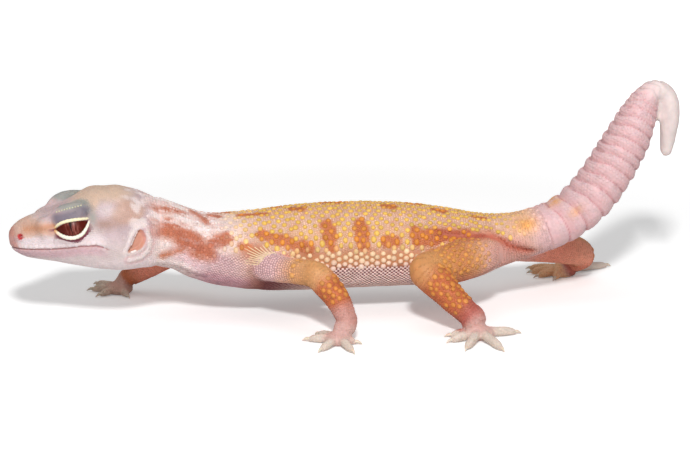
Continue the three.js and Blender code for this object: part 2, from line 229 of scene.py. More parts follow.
def shell(rings, sides):
    """Triangles of a closed tube: rings of points one after another, then its two end poles. Two triangles
    fill each cell between neighbouring rings, and a fan of triangles closes each end."""
    j = np.arange(sides)
    k = (j + 1) % sides
    low = (np.arange(rings - 1) * sides)[:, None]
    cells = np.stack([low + j, low + k, low + sides + k, low + j, low + sides + k, low + sides + j], -1)
    start, end = rings * sides, rings * sides + 1
    last = (rings - 1) * sides
    first_fan = np.stack([np.full(sides, start), k, j], -1)
    last_fan = np.stack([np.full(sides, end), last + j, last + k], -1)
    return np.vstack([cells.reshape(-1, 3), first_fan, last_fan])


def joined(shells):
    """Several closed shapes as one array of points and one of triangles."""
    starts = np.cumsum([0] + [len(points) for points, _ in shells])
    faces = [faces + start for (_, faces), start in zip(shells, starts)]
    return np.vstack([points for points, _ in shells]), np.vstack(faces)


def set_points(mesh, points):
    """Puts an array of places into the mesh's vertices."""
    mesh.vertices.foreach_set("co", points.astype(np.float32).ravel())
    mesh.update()


def mesh_of(name, points, faces):
    """A Blender mesh from an array of points and an array of faces that all have as many corners."""
    mesh = bpy.data.meshes.new(name)
    mesh.vertices.add(len(points))
    set_points(mesh, points)
    mesh.loops.add(faces.size)
    mesh.loops.foreach_set("vertex_index", faces.astype(np.int32).ravel())
    mesh.polygons.add(len(faces))
    mesh.polygons.foreach_set("loop_start", np.arange(0, faces.size, faces.shape[1], dtype=np.int32))
    mesh.update(calc_edges=True)
    mesh.validate()
    return mesh


def points_of(mesh, what="vertices"):
    """The mesh's vertex places, or its vertex normals, as an array."""
    values = np.empty(len(mesh.vertices) * 3, np.float32)
    source, key = (mesh.vertices, "co") if what == "vertices" else (mesh.vertex_normals, "vector")
    source.foreach_get(key, values)
    return values.reshape(-1, 3).astype(float)


def edges_of(mesh):
    """The mesh's edges as an array of pairs."""
    pairs = np.empty(len(mesh.edges) * 2, np.int32)
    mesh.edges.foreach_get("vertices", pairs)
    return pairs.reshape(-1, 2)


def triangle_count(mesh):
    """Triangles the mesh will be rendered as: each face has two fewer than its corners."""
    return len(mesh.loops) - 2 * len(mesh.polygons)


def in_scene(name, data):
    """A new object that stands in the scene."""
    thing = bpy.data.objects.new(name, data)
    bpy.context.scene.collection.objects.link(thing)
    return thing


def evaluated(holder):
    """A copy of the object's mesh as its modifiers make it."""
    return bpy.data.meshes.new_from_object(holder.evaluated_get(bpy.context.evaluated_depsgraph_get()))


def through(mesh, kind, **settings):
    """The mesh after one modifier: it goes on a passing object, is evaluated and is copied."""
    holder = in_scene("holder", mesh)
    modifier = holder.modifiers.new(kind, kind)
    for name, value in settings.items():
        setattr(modifier, name, value)
    result = evaluated(holder)
    bpy.data.objects.remove(holder)
    return result


def relax(points, pairs, rounds, weight=1.0, keep_size=False):
    """Moves each point part of the way to the middle of its neighbours, so that creases soften. With
    keep_size, every other round pushes slightly outwards again (Taubin's rule), which keeps thin parts."""
    inwards, outwards = 0.5, -0.53
    first, second = pairs.T
    many = len(points)
    count = np.maximum(np.bincount(pairs.ravel(), minlength=many), 1)[:, None]
    for turn in range(rounds):
        total = np.stack([np.bincount(first, column[second], many) + np.bincount(second, column[first], many)
                          for column in points.T], 1)
        step = outwards if keep_size and turn % 2 else inwards
        points = points + step * np.asarray(weight).reshape(-1, 1) * (total / count - points)
    return points


# %% [markdown]
# ## The body's own coordinates
#
# Markings and scales follow the animal, not the room. A place on it is told by `s`, the distance from the
# snout along the spine, and by an angle round the spine: 0 on the right flank, 90 along the back, 180 on the
# left flank. `on_body` goes from those to a point, and `body_place` goes back.

# %% The spine
ROWS = np.linspace(0, len(BODY) - 1, 1481)
SPINE = spline(BODY, ROWS)
AHEAD = unit(np.gradient(SPINE[:, :3], axis=0))
ACROSS = unit(np.array([0.0, 1.0, 0.0]) - AHEAD * AHEAD[:, 1:2])
UPWARD = np.cross(AHEAD, ACROSS)
LENGTHS = path_length(SPINE[:, :3])
print("from snout to tail tip along the spine:", round(LENGTHS[-1], 1), "mm")


def along_spine(values, rows):
    """A quantity known along the spine, read at row numbers."""
    return np.stack([np.interp(rows, ROWS, column) for column in values.T], -1)


def signed_power(value, exponent):
    """|value| to the exponent, with value's sign."""
    return np.sign(value) * np.abs(value) ** exponent


def on_body(rows, degrees, grow=0.0):
    """The point at a row and an angle: centre + across · w · cos^(2/n) + upward · h · sin^(2/n), where w and
    h are the section's half width and height and n its squareness. grow moves it outwards."""
    line = along_spine(SPINE, rows)
    angle = np.radians(degrees)
    exponent = 2 / line[..., 6]
    height = np.where(np.sin(angle) > 0, line[..., 4], line[..., 5])
    sideways = (line[..., 3] + grow) * signed_power(np.cos(angle), exponent)
    upwards = (height + grow) * signed_power(np.sin(angle), exponent)
    return (line[..., :3] + along_spine(ACROSS, rows) * sideways[..., None]
            + along_spine(UPWARD, rows) * upwards[..., None])


def body_place(points):
    """For each point: s, the angle in degrees, and how far it lies outside the body's section. The nearest of
    many marks on the spine is found first, and the step from it to the point, taken along the spine, adds
    the rest of s."""
    nearest = np.empty(len(points), int)
    apart, batch = 4, 20000
    marks = SPINE[::apart, :3]
    for start in range(0, len(points), batch):
        part = points[start:start + batch]
        nearest[start:start + batch] = apart * np.argmin((marks**2).sum(1)[None] - 2 * part @ marks.T, axis=1)
    step = ((points - SPINE[nearest, :3]) * AHEAD[nearest]).sum(1)
    s = np.clip(LENGTHS[nearest] + step, 0, LENGTHS[-1])
    rows = np.interp(s, LENGTHS, ROWS)
    line = along_spine(SPINE, rows)
    off = points - line[:, :3]
    sideways = (off * along_spine(ACROSS, rows)).sum(1)
    upwards = (off * along_spine(UPWARD, rows)).sum(1)
    height = np.where(upwards > 0, line[:, 4], line[:, 5])
    power = line[:, 6] / 2
    u, v = signed_power(sideways / line[:, 3], power), signed_power(upwards / height, power)
    outside = (np.hypot(u, v) ** (1 / power) - 1) * np.minimum(line[:, 3], height)
    return s, np.degrees(np.arctan2(v, u)), outside, rows


def limb_place(points, chain):
    """For each point: how far along the chain of rows it lies, and how far outside the limb's surface."""
    at = np.linspace(0, len(chain) - 1, 90)
    line = spline(chain, at)
    distance = np.linalg.norm(points[:, None] - line[None, :, :3], axis=2) - line[None, :, 3]
    nearest = np.argmin(distance, axis=1)
    return at[nearest], distance[np.arange(len(points)), nearest]


def limb_chain(leg):
    """The leg's chain with its palm as a last row."""
    return np.vstack([LEGS[leg]["chain"], (*LEGS[leg]["palm"], 1.9, 1.9)])


# %% [markdown]
# ## The skin
#
# A real gecko has one skin over everything, so the model has one too. The trunk with its limbs, the head and
# each foot are first made as plain closed tubes and balls on the solids' own tables, drawn in by the depth
# of the scales. Blender's Remesh modifier melts each group into one surface of even small squares: coarse
# ones on the trunk, fine ones on the head and the feet. A boolean union then welds the groups, and relaxing
# the points rounds every hollow where one part meets the next.


# %% Closed shapes to melt together
def body_shell(start, end, rings, sides, grow, taper):
    """A closed length of the body: points on the sections, moved outwards by grow and drawn to the spine by
    taper, each a list of (row, value)."""
    rows = np.linspace(start, end, rings)
    degrees = np.arange(sides) * 360 / sides
    outwards = np.interp(rows, *np.array(grow).T)[:, None]
    points = on_body(*np.broadcast_arrays(rows[:, None], degrees[None]), outwards)
    centre = along_spine(SPINE, rows)[:, :3]
    share = np.interp(rows, *np.array(taper).T)[:, None, None]
    points = centre[:, None] + (points - centre[:, None]) * share
    return np.vstack([points.reshape(-1, 3), centre[0], centre[-1]]), shell(rings, sides)


def tube_shell(chain, rings, sides, grow=0.0):
    """A closed round tube along a chain of x, y, z, radius, with half-ball ends. Each ring lies square to the
    path: point + radius · (sideways · cos + upwards · sin)."""
    chain = np.array(chain, float)
    dome = 5  # rings in each half ball
    rising = np.linspace(0, 90, dome + 1)[1:]
    tilt = np.concatenate([np.linspace(-90, 0, dome, endpoint=False), np.zeros(rings), rising])
    tilt = np.radians(np.clip(tilt, -88, 88))
    share = np.concatenate([np.zeros(dome), np.linspace(0, 1, rings), np.ones(dome)])
    line = spline(chain, share * (len(chain) - 1))
    path = spline(chain, np.linspace(0, len(chain) - 1, 200))
    heading = unit(np.gradient(path[:, :3], axis=0))
    ahead = unit(np.stack([np.interp(share, np.linspace(0, 1, 200), column) for column in heading.T], 1))
    sideways, upwards = square_to(ahead)
    radius = line[:, 3] + grow
    middle = line[:, :3] + ahead * (radius * np.sin(tilt))[:, None]
    angle = np.arange(sides) * 2 * np.pi / sides
    ring = sideways[:, None] * np.cos(angle)[None, :, None] + upwards[:, None] * np.sin(angle)[None, :, None]
    points = middle[:, None] + ring * (radius * np.cos(tilt))[:, None, None]
    ends = middle[[0, -1]]
    return np.vstack([points.reshape(-1, 3), ends]), shell(len(share), sides)


def ball_shell(centre, radii, turn_y=0.0, turn_z=0.0, rings=20, sides=32):
    """A ball stretched to three radii, turned about Y and then about Z, and set down at a centre."""
    latitude = np.radians(np.linspace(-90, 90, rings + 2)[1:-1])[:, None]
    longitude = (np.arange(sides) * 2 * np.pi / sides)[None]
    out = np.cos(latitude)
    axes = np.broadcast_arrays(out * np.cos(longitude), out * np.sin(longitude), np.sin(latitude))
    points = np.vstack([np.stack(axes, -1).reshape(-1, 3), [0, 0, -1], [0, 0, 1]]) * np.array(radii)
    y, z = np.radians([turn_y, turn_z])
    about_y = np.array([[np.cos(y), 0, np.sin(y)], [0, 1, 0], [-np.sin(y), 0, np.cos(y)]])
    about_z = np.array([[np.cos(z), -np.sin(z), 0], [np.sin(z), np.cos(z), 0], [0, 0, 1]])
    return points @ about_y.T @ about_z.T + np.array(centre), shell(rings, sides)


def melted(name, shells, size, rounds, keep_size=False):
    """The closed shapes as one surface of squares about size across, relaxed for so many rounds."""
    mesh = through(mesh_of(name, *joined(shells)), "REMESH", mode="VOXEL", voxel_size=size)
    mesh.name = name
    set_points(mesh, relax(points_of(mesh), edges_of(mesh), rounds, keep_size=keep_size))
    print(f"{name}: {len(mesh.polygons)} squares after melting")
    return mesh


# %% [markdown]
# ### Trunk, tail and limbs
#
# The trunk is one tube along the spine, and each limb one tube along its chain that starts well inside the
# trunk, so that melting fills the armpit or groin between them.

# %% Trunk, tail and limbs
TRUNK_SQUARE, HEAD_SQUARE, FOOT_SQUARE = 0.78, 0.33, 0.30
LIMB_STOP = 5.75  # the chain's row just short of the wrist or ankle, where the foot takes over
trunk_shells = [body_shell(10.0, len(BODY) - 1, 260, 72, [(31, -TRUNK_DEPTH), (34, -0.05)],
                           [(10.0, 0.8), (10.9, 1.0), (40, 1.0)])]
for shape in LEGS.values():
    chain = spline(shape["chain"], np.linspace(0, LIMB_STOP, 24))
    trunk_shells.append(tube_shell(chain, 60, 32, -TRUNK_DEPTH))
trunk = melted("trunk", trunk_shells, TRUNK_SQUARE, 10, keep_size=True)

# %% [markdown]
# ### Head
#
# The head is the front of the same tube with four balls sunk in each side: the swelling of the eye, the ridge
# of the brow over it, the snout's flank in front and the jaw's muscle behind.

# %% Head
head_shells = [body_shell(0, 11.5, 130, 96, [(0, -HEAD_DEPTH)], [(0, 1.0), (10.6, 1.0), (11.5, 0.8)])]
for side in (-1, 1):
    eye = EYE_LEFT + np.array([0, EYE_GAP if side > 0 else 0, 0])
    lid = EYE_RADIUS + 0.5
    head_shells += [
        ball_shell(eye, (lid + 0.45, lid, lid), 12),
        ball_shell((-64.5, eye[1] + side * 0.7, 27.2), (7.1, 3.0, 4.9), 4, side * 6),
        ball_shell((-70.3, MID_HEAD + side * 5.0, 25.0), (4.4, 3.0, 3.6), 20, side * 12),
        ball_shell((-56.2, -2.1 + side * 6.6, 22.6), (5.5, 4.8, 6.1)),
    ]
head = melted("head", head_shells, HEAD_SQUARE, 26)


# %% [markdown]
# ### Feet
#
# A foot is a flat palm, a stub of the limb and five toes that spread as a fan. The toes' table gives a thick
# root, an even middle and a rounded tip.


# %% Feet
def toe_chain(leg, index):
    """The toe's centre line and radius, from its table scaled to its length and turned outwards."""
    shape, kind = LEGS[leg], leg.split("_")[0]
    degrees, length = shape["toes"][index]
    angle = np.radians(degrees)
    outwards = -1 if leg.endswith("left") else 1
    heading = np.array([-np.cos(angle), outwards * np.sin(angle)])
    place = np.array(shape["palm"]) + (TOE[:, :1] * length) * heading
    thickness = TOE[:, [2, 1]] * TOE_WIDTH[kind]
    return np.column_stack([place, thickness]), heading, length


feet = []
for leg, shape in LEGS.items():
    chain = np.array(shape["chain"])
    palm = np.array([*shape["palm"], PALM_HEIGHT])
    wrist = chain[-1]
    middle = np.array([*(wrist[:2] + palm[:2]) / 2, 3.0, wrist[3] * 0.92])
    inside = spline(chain, np.array([5.3]))[0] * np.array([1, 1, 1, 0.8])
    stub = [inside, wrist * np.array([1, 1, 1, 0.99]), middle, (*palm[:2], 1.9, 1.9)]
    shells = [
        tube_shell(stub, 24, 28, -TRUNK_DEPTH * 0.6),
        ball_shell(palm, np.array(PALM_RADII[leg.split("_")[0]]) - FOOT_DEPTH),
    ]
    shells += [tube_shell(toe_chain(leg, index)[0], 18, 20, -FOOT_DEPTH) for index in range(TOES)]
    feet.append(melted(leg + "_foot", shells, FOOT_SQUARE, 8, keep_size=True))

# %% [markdown]
# ### One skin
#
# A boolean union keeps only the outer surface where two closed shapes cross. The manifold solver is quick and
# exact on meshes as clean as these.

# %% Weld the groups into one skin
holder = in_scene("welding", trunk)
others = []
for mesh in [head] + feet:
    other = in_scene(mesh.name, mesh)
    others.append(other)
    weld = holder.modifiers.new(mesh.name, "BOOLEAN")
    weld.operation, weld.solver, weld.object = "UNION", "MANIFOLD", other
skin_mesh = evaluated(holder)
for passing in [holder] + others:
    bpy.data.objects.remove(passing)
print("one skin of", len(skin_mesh.polygons), "faces")


# %% [markdown]
# ## Features of the skin
#
# The finer forms are pushed into the skin as relief: each is a height in millimetres worked out from where a
# point lies. On the tail's rings and round the eyes, lips, nostrils and ears the squares are first cut in
# four, so that the small forms there have enough points to stand on. Both sides of the head take the same
# forms, so a point on the right is folded over the head's middle plane on to the left.

# %% The face's own coordinates
EYE_OUT = np.array([-0.226, -0.905, 0.361])  # the way the left eye looks
EYE_BACK = np.array([0.954, -0.131, 0.269])  # along the lids, towards the ear
EYE_UP = np.array([-0.196, 0.405, 0.893])
# The edges of the lids, in radians over the eyeball: along it, then up it.
CORNER = 1.05
OPENING_TOP = np.array([(-CORNER, 0.04), (-0.66, 0.09), (-0.38, 0.13), (-0.04, 0.14), (0.25, 0.11),
                        (0.61, 0.07), (CORNER, 0.03)])
OPENING_FLOOR = np.array([(-CORNER, 0.03), (-0.81, -0.16), (-0.56, -0.36), (-0.33, -0.51), (-0.14, -0.58),
                          (0.1, -0.62), (0.37, -0.60), (0.61, -0.51), (0.76, -0.35), (0.92, -0.16),
                          (CORNER, 0.02)])
MOUTH = np.array([(-81.0, 20.6), (-79.7, 20.6), (-77.9, 20.7), (-74.2, 20.9), (-69.9, 21.1), (-66.3, 21.6),
                  (-64.7, 22.0), (-60.6, 22.3), (-59.1, 22.0), (-57.5, 21.3)])  # x, z
MOUTH_CORNER = -57  # x behind which there is no mouth
NOSTRIL = np.array([-77.9, -6.9, 23.8])
EAR_MIDDLE = np.array([-50.8, 22.8])  # x, z
EAR = np.array([(-50.1, 24.4), (-50.2, 23.2), (-50.8, 22.2), (-51.7, 21.4), (-52.7, 20.8)])  # x, z
EAR_WIDTH = np.array([1.05, 1.6, 1.5, 1.0, 0.45])
EAR_FOLD = np.array([(-48.3, 24.6), (-47.7, 22.4), (-48.2, 20.2), (-50.0, 18.7), (-52.8, 18.4)])  # x, z
# The groin's fold, above the thigh and down behind it: distance from the snout, and degrees above the flank
# line turned to millimetres.
GROIN_ARC = 0.125
GROIN = np.array([(104, 34), (110.8, 31), (116.5, 30), (119.1, 16), (120.6, -3), (125.6, -36)])
GROIN = GROIN * [1, GROIN_ARC]
FAR_OFF = 9.0  # a distance that stands for "nowhere near"
print("the lids' opening is", round(2 * CORNER * EYE_RADIUS, 1), "mm long")


def folded(points):
    """Points of the right half of the head mirrored on to the left half."""
    result = points.copy()
    result[:, 1] = MID_HEAD - np.abs(points[:, 1] - MID_HEAD)
    return result


def eye_place(left):
    """Along and up the eyeball in radians, and distance from its centre, for folded points."""
    off = left - EYE_LEFT
    far = np.linalg.norm(off, axis=1)
    along = np.arctan2(off @ EYE_BACK, off @ EYE_OUT)
    return along, np.arcsin(np.clip((off @ EYE_UP) / np.maximum(far, 1e-6), -1, 1)), far


def in_opening(along, up):
    """How far inside the edge of the lids a place on the eyeball lies, in millimetres; negative outside."""
    top, floor = np.interp(along, *OPENING_TOP.T), np.interp(along, *OPENING_FLOOR.T)
    return EYE_RADIUS * np.minimum(np.minimum(top - up, up - floor), CORNER - np.abs(along))


def from_line(across, upwards, line, width=None):
    """Distance of places (across, upwards) from a broken line of the same two coordinates, and the share of
    the way along it. With width, the line's own half width at the nearest place is taken off."""
    at = np.linspace(0, len(line) - 1, 60)
    marks = np.stack([np.interp(at, np.arange(len(line)), column) for column in line.T], 1)
    distance = np.hypot(across[:, None] - marks[None, :, 0], upwards[:, None] - marks[None, :, 1])
    if width is not None:
        distance = distance - np.interp(at, np.arange(len(line)), width)[None]
    nearest = np.argmin(distance, axis=1)
    return distance[np.arange(len(across)), nearest], at[nearest] / (len(line) - 1)


def from_mouth(left):
    """Height above the line of the mouth."""
    return left[:, 2] - np.interp(left[:, 0], *MOUTH.T)


def from_ear(left, line, width=None, reach=6.0):
    """Distance from a line drawn at the left ear, for folded points; FAR_OFF beyond a reach of its middle."""
    gap = np.full(len(left), FAR_OFF)
    near = np.all(np.abs(left[:, [0, 2]] - EAR_MIDDLE) < reach, axis=1) & (left[:, 1] < -7)
    gap[near] = from_line(left[near, 0], left[near, 2], line, width)[0]
    return gap


# %% [markdown]
# ### Smaller squares for small forms
#
# Blender's Subdivide cuts each chosen square in four, and the squares at the border of the zone are split so
# that no gap opens. It costs far fewer triangles than a fine mesh all over.


# %% Cut the squares finer where the face needs it
def fine_zone(points):
    """True where the skin carries small forms: the tail's rings, the lids' edges, the lips, the nostrils and
    the ears."""
    s, _, outside, _ = body_place(points)
    tail = (s > 126) & (s < 177) & (outside < 1.0) & (points[:, 0] > 50)
    left = folded(points)
    along, up, far = eye_place(left)
    margin = in_opening(along, up)
    lids = (far < EYE_RADIUS + 1.9) & (margin > -1.5) & (margin < 0.6) & (left[:, 1] < -8)
    lips = (left[:, 0] < MOUTH_CORNER) & (np.abs(from_mouth(left)) < 0.55)
    nostril = np.linalg.norm(left - NOSTRIL, axis=1) < 1.3
    ear = np.abs(from_ear(left, EAR, EAR_WIDTH, 4)) < 0.6
    return tail | lids | lips | nostril | ear


def cut_finer(mesh, zone):
    """Halves every edge whose two ends lie in the zone, which cuts its squares in four."""
    work = bmesh.new()
    work.from_mesh(mesh)
    work.edges.ensure_lookup_table()
    pairs = edges_of(mesh)
    chosen = np.flatnonzero(zone[pairs[:, 0]] & zone[pairs[:, 1]])
    bmesh.ops.subdivide_edges(work, edges=[work.edges[i] for i in chosen], cuts=1, use_grid_fill=True)
    work.to_mesh(mesh)
    work.free()
    mesh.update()


def near_joins(points):
    """1 where one group of the skin meets the next (wrists, armpits, groins, the back of the head), fading to
    0 a little way off."""
    _, _, outside, rows = body_place(points)
    weight = bell(rows, 11.0, 0.5)
    on_trunk = fall(0.5, 2.2, np.abs(outside))
    for shape in LEGS.values():
        at, gap = limb_place(points, shape["chain"])
        weight = np.maximum(weight, bell(at, 5.6, 0.6) * (gap < 1.5))
        weight = np.maximum(weight, on_trunk * fall(0.5, 2.2, np.abs(gap)))
    return weight


placed = points_of(skin_mesh)
placed = relax(placed, edges_of(skin_mesh), 26, near_joins(placed), keep_size=True)
set_points(skin_mesh, placed)
cut_finer(skin_mesh, fine_zone(placed))
placed = points_of(skin_mesh)
placed = relax(placed, edges_of(skin_mesh), 4, fine_zone(placed).astype(float), keep_size=True)
print("skin cut finer:", triangle_count(skin_mesh), "triangles")

# %% [markdown]
# ## Relief
#
# The tail is a stack of soft rings. Their joints come closer together towards the hook, and each ring swells
# to its own highest line: nearer its far joint on the back, nearer its near joint underneath. The other forms
# are single grooves, pits and folds.

# %% Relief of the tail
TAIL_RINGS = np.array([122.4, 126.4, 130.5, 134.8, 139.1, 143.3, 146.9, 149.9, 153.1, 155.9, 158.2, 160.8,
                       163.8, 166.3, 168.5, 170.4, 172.1, 173.6, 175.0, 176.4, 177.9])  # s of each joint


def noise(points, size, seed=0):
    """Smooth random values between -1 and 1: one random number for each corner of a lattice of cubes of the
    given size, blended between the eight corners round each point."""
    numbers = 4096
    primes = 73856093, 19349663, 83492791
    table = np.random.default_rng(seed).uniform(-1, 1, numbers)
    place = points / size + 500
    low = np.floor(place).astype(np.int64)
    t = place - low
    t = t * t * (3 - 2 * t)
    total = np.zeros(len(points))
    for corner in np.ndindex(2, 2, 2):
        mark, share = 0, 1
        for axis, one in enumerate(corner):
            mark = mark ^ (low[:, axis] + one) * primes[axis]
            share = share * np.abs(1 - one - t[:, axis])
        total += table[mark & (numbers - 1)] * share
    return total


def elevation(degrees):
    """Degrees above the flank line, 90 on the back and -90 on the belly, the same on both sides."""
    return np.where(np.abs(degrees) <= 90, degrees, np.sign(degrees) * (180 - np.abs(degrees)))


def ring_phase(s, rise):
    """Ring number and how far through the ring, from 0 at its near joint to 1 at its far joint. The joints
    bow towards the root on the back and underneath."""
    bowed = s + 1.5 * smooth(20, 85, rise) + 0.8 * smooth(10, 65, -rise)
    at = np.interp(bowed, TAIL_RINGS, np.arange(len(TAIL_RINGS)))
    return np.floor(at), at - np.floor(at)


def ring_relief(s, rise):
    """Height of the tail's rings: sin(pi · t^k), k chosen so that the highest line lies where it should."""
    _, t = ring_phase(s, rise)
    top = 0.5 + 0.2 * np.sin(np.radians(rise))
    swell = np.sin(np.pi * t ** (np.log(0.5) / np.log(top))) ** 0.36
    strength = 0.18 * smooth(124, 128, s) + 0.68 * smooth(129, 139, s)
    strength = strength * (1 - 0.45 * smooth(164, 171, s)) * fall(173.5, 177.5, s)
    return strength * (swell - 0.78)


# %% [markdown]
# ### Relief of the face
#
# The mouth is a fine groove between two soft lips. Nostrils and ears are pits with a raised rim, a fold of
# skin runs behind each ear, and a crease lies under the eye and another over its upper lid.

# %% Relief of the face
# The crease under the eye, in radians along and up the eyeball.
UNDER_EYE = np.array([(-1.1, 0.02), (-0.9, -0.06), (-0.58, -0.38), (-0.29, -0.62), (0.01, -0.72),
                      (0.52, -0.65), (0.87, -0.37), (1.14, -0.01)])


def face_relief(points):
    """Height of the face's forms, each a bell or a soft step of the distance from its line or middle."""
    left = folded(points)
    gap = from_mouth(left)
    lips = fall(-59.5, MOUTH_CORNER, left[:, 0])
    height = lips * (-0.34 * bell(gap, 0, 0.17) + 0.10 * bell(np.abs(gap), 0.62, 0.42))
    off = np.linalg.norm((left - NOSTRIL) * np.array([1.0, 1.0, 1.15]), axis=1)
    height += 0.16 * bell(off, 1.0, 0.6) - 0.75 * fall(0.2, 0.62, off)
    ear = from_ear(left, EAR, EAR_WIDTH, 5)
    height += 0.22 * bell(ear, 0.45, 0.4) - fall(-0.5, 0.05, ear)
    height += 0.3 * bell(from_ear(left, EAR_FOLD, None, 5), 0, 0.55)
    along, up, far = eye_place(left)
    under = EYE_RADIUS * (up - np.interp(along, *UNDER_EYE.T))
    here = (far < EYE_RADIUS + 2) & (left[:, 1] < -7) & (np.abs(along) < 1.15)
    height -= 0.2 * bell(under, -0.3, 0.22) * here * fall(0.7, 1.05, np.abs(along))
    over = EYE_RADIUS * (up - (0.80 - 0.14 * along**2))
    here = (far < EYE_RADIUS + 2.4) & (left[:, 1] < -6)
    height -= 0.14 * bell(over, 0, 0.4) * here * fall(0.7, 1.2, np.abs(along))
    return height


# %% [markdown]
# ### Relief of the body
#
# Behind the face there are only a few folds: a soft one along the throat, slack skin in front of the arm, a
# deep fold over the hip and down behind the thigh, and a slight unevenness all over.


# %% Relief of the body
def from_groin(s, rise):
    """Distance from the groin's fold in millimetres, or FAR_OFF."""
    gap = np.full(len(s), FAR_OFF)
    near = (s > 100) & (s < 130)
    gap[near] = from_line(s[near], rise[near] * GROIN_ARC, GROIN)[0]
    return gap


def skin_relief(points, s, rise, outside):
    """Everything that stands out of the skin or is sunk into it, in millimetres."""
    height = ring_relief(s, rise) * (outside < 1.2)
    height += face_relief(points) * (s < 36)
    throat = 0.5 * bell(rise, -38, 5) - 0.3 * bell(rise, -48, 5)
    height += throat * smooth(33, 37, s) * fall(44, 50, s)
    groin = from_groin(s, rise)
    height += 0.2 * bell(groin, 1.5, 0.6) - 0.75 * bell(groin, 0, 0.6)
    slack = bell(s, 51, 3.5) * bell(rise, 8, 18)
    height -= 0.28 * slack * bell(noise(points * [1.3, 1, 0.8], 1.7, 3), 0, 0.22)
    height += (0.09 * noise(points, 2.4, 1) + 0.04 * noise(points, 1.0, 2)) * (0.4 + 0.6 * smooth(26, 40, s))
    return height


s, degrees, outside, _ = body_place(placed)
set_points(skin_mesh, placed)
height = skin_relief(placed, s, elevation(degrees), outside)
placed = placed + points_of(skin_mesh, "normals") * height[:, None]
print("relief from", round(height.min(), 2), "to", round(height.max(), 2), "mm")

# %% [markdown]
# ### Eye sockets and soles
#
# Round the eyes the skin is drawn in to lie on the eyeball, as a lid does, and inside the lids' opening it
# dips under the eyeball. The soles are pressed flat, as soft feet are on a floor.

# %% Eye sockets and soles
left = folded(placed)
along, up, far = eye_place(left)
eyes = np.where((placed[:, 1] > MID_HEAD)[:, None], EYE_LEFT + [0, EYE_GAP, 0], EYE_LEFT)
close = fall(1.2, 1.7, np.abs(along)) * fall(-8.4, -7.4, left[:, 1])
close = close * fall(EYE_RADIUS + 1.8, EYE_RADIUS + 3.2, far)
beyond = np.maximum(-in_opening(along, up), 0)
lid_skin = EYE_RADIUS + 0.1 + 0.62 * beyond
drawn_in = np.maximum(far - lid_skin, 0) * close * fall(1.2, 3.4, beyond)
placed = placed - unit(placed - eyes) * drawn_in[:, None]
depth = smooth(-0.12, 0.22, in_opening(along, up)) * (close > 0.5)
sunk = eyes + unit(placed - eyes) * (EYE_RADIUS - 0.7)
placed = placed + (sunk - placed) * depth[:, None]
SOLE, PRESSED = 0.06, 0.25  # the soles' own height, and the height up to which they are pressed
sunk_by = np.minimum(placed[:, 2] - PRESSED, 0)
pressed = SOLE + (PRESSED - SOLE) * np.exp(sunk_by / (PRESSED - SOLE))
placed[:, 2] = np.where(placed[:, 2] < PRESSED, pressed, placed[:, 2])
set_points(skin_mesh, placed)
print("soles at", round(placed[:, 2].min(), 2), "mm")

# %% [markdown]
# ## The rims of the lids
#
# A leopard gecko has real lids, and their edges are rims of small pale scales that stand a little off the
# eyeball. Each rim is a thin tube swept along a curve drawn on the eyeball, and joins the skin as part of the
# same mesh.

# %% Rims of the lids
# Radians along and up the eyeball.
RIM_TOP = np.array([(-1.27, 0.11), (-1.05, 0.13), (-0.8, 0.17), (-0.6, 0.21), (-0.33, 0.23), (-0.05, 0.22),
                    (0.27, 0.19), (0.56, 0.165), (0.91, 0.15), (1.16, 0.19), (1.3, 0.33)])
RIM_FLOOR = np.array([(-1.28, 0.10), (-1.1, 0.0), (-0.93, -0.13), (-0.75, -0.32), (-0.54, -0.5),
                      (-0.31, -0.63), (-0.01, -0.71), (0.33, -0.69), (0.59, -0.58), (0.79, -0.39),
                      (0.97, -0.16), (1.12, 0.04)])
RIM_BEADS = 15


def on_eyeball(along, up, distance):
    """A point in front of the left eyeball: distance · (out · cos up · cos along + back · cos up · sin along
    + up · sin up)."""
    level = np.cos(up)[:, None]
    direction = EYE_OUT * level * np.cos(along)[:, None] + EYE_BACK * level * np.sin(along)[:, None]
    return EYE_LEFT + (direction + EYE_UP * np.sin(up)[:, None]) * distance[:, None]


def to_right(points):
    """Points by the left eye mirrored to the right one."""
    return points * [1, -1, 1] + [0, 2 * MID_HEAD, 0]


def rim(line, width, thick, rings=44, sides=10):
    """A flattened tube along a curve on the eyeball, thinning to its ends and beaded by a small wave, for the
    left eye: ring centre + upwards · width · cos + outwards · thick · sin."""
    share = np.linspace(0, 1, rings)
    along, up = spline(line, share * (len(line) - 1)).T
    outwards = on_eyeball(along, up, np.ones(rings)) - EYE_LEFT
    middle = EYE_LEFT + outwards * (EYE_RADIUS + 0.25)
    upwards = unit(np.cross(unit(np.gradient(middle, axis=0)), outwards))
    taper = np.sqrt(np.clip(np.sin(np.pi * np.clip(share, 0.02, 0.98)), 0, 1)) ** 0.7
    beaded = taper * (1 + 0.09 * np.sin(share * 2 * np.pi * RIM_BEADS))
    angle = (np.arange(sides) * 2 * np.pi / sides)[None, :, None]
    points = (middle[:, None] + upwards[:, None] * np.cos(angle) * (width * beaded)[:, None, None]
              + outwards[:, None] * np.sin(angle) * (thick * beaded)[:, None, None])
    return np.vstack([points.reshape(-1, 3), middle[0], middle[-1]]), shell(rings, sides)


rim_parts = []
for line, width, thick in ((RIM_TOP, 0.40, 0.42), (RIM_FLOOR, 0.47, 0.45)):
    points, faces = rim(line, width, thick)
    rim_parts += [(points, faces), (to_right(points), faces[:, ::-1])]
work = bmesh.new()
work.from_mesh(skin_mesh)
work.from_mesh(mesh_of("rims", *joined(rim_parts)))
work.to_mesh(skin_mesh)
work.free()
on_rim = np.arange(len(skin_mesh.vertices)) - len(placed)  # negative on the rest of the skin
placed = points_of(skin_mesh)
print("the skin with the rims of the lids:", triangle_count(skin_mesh), "triangles")

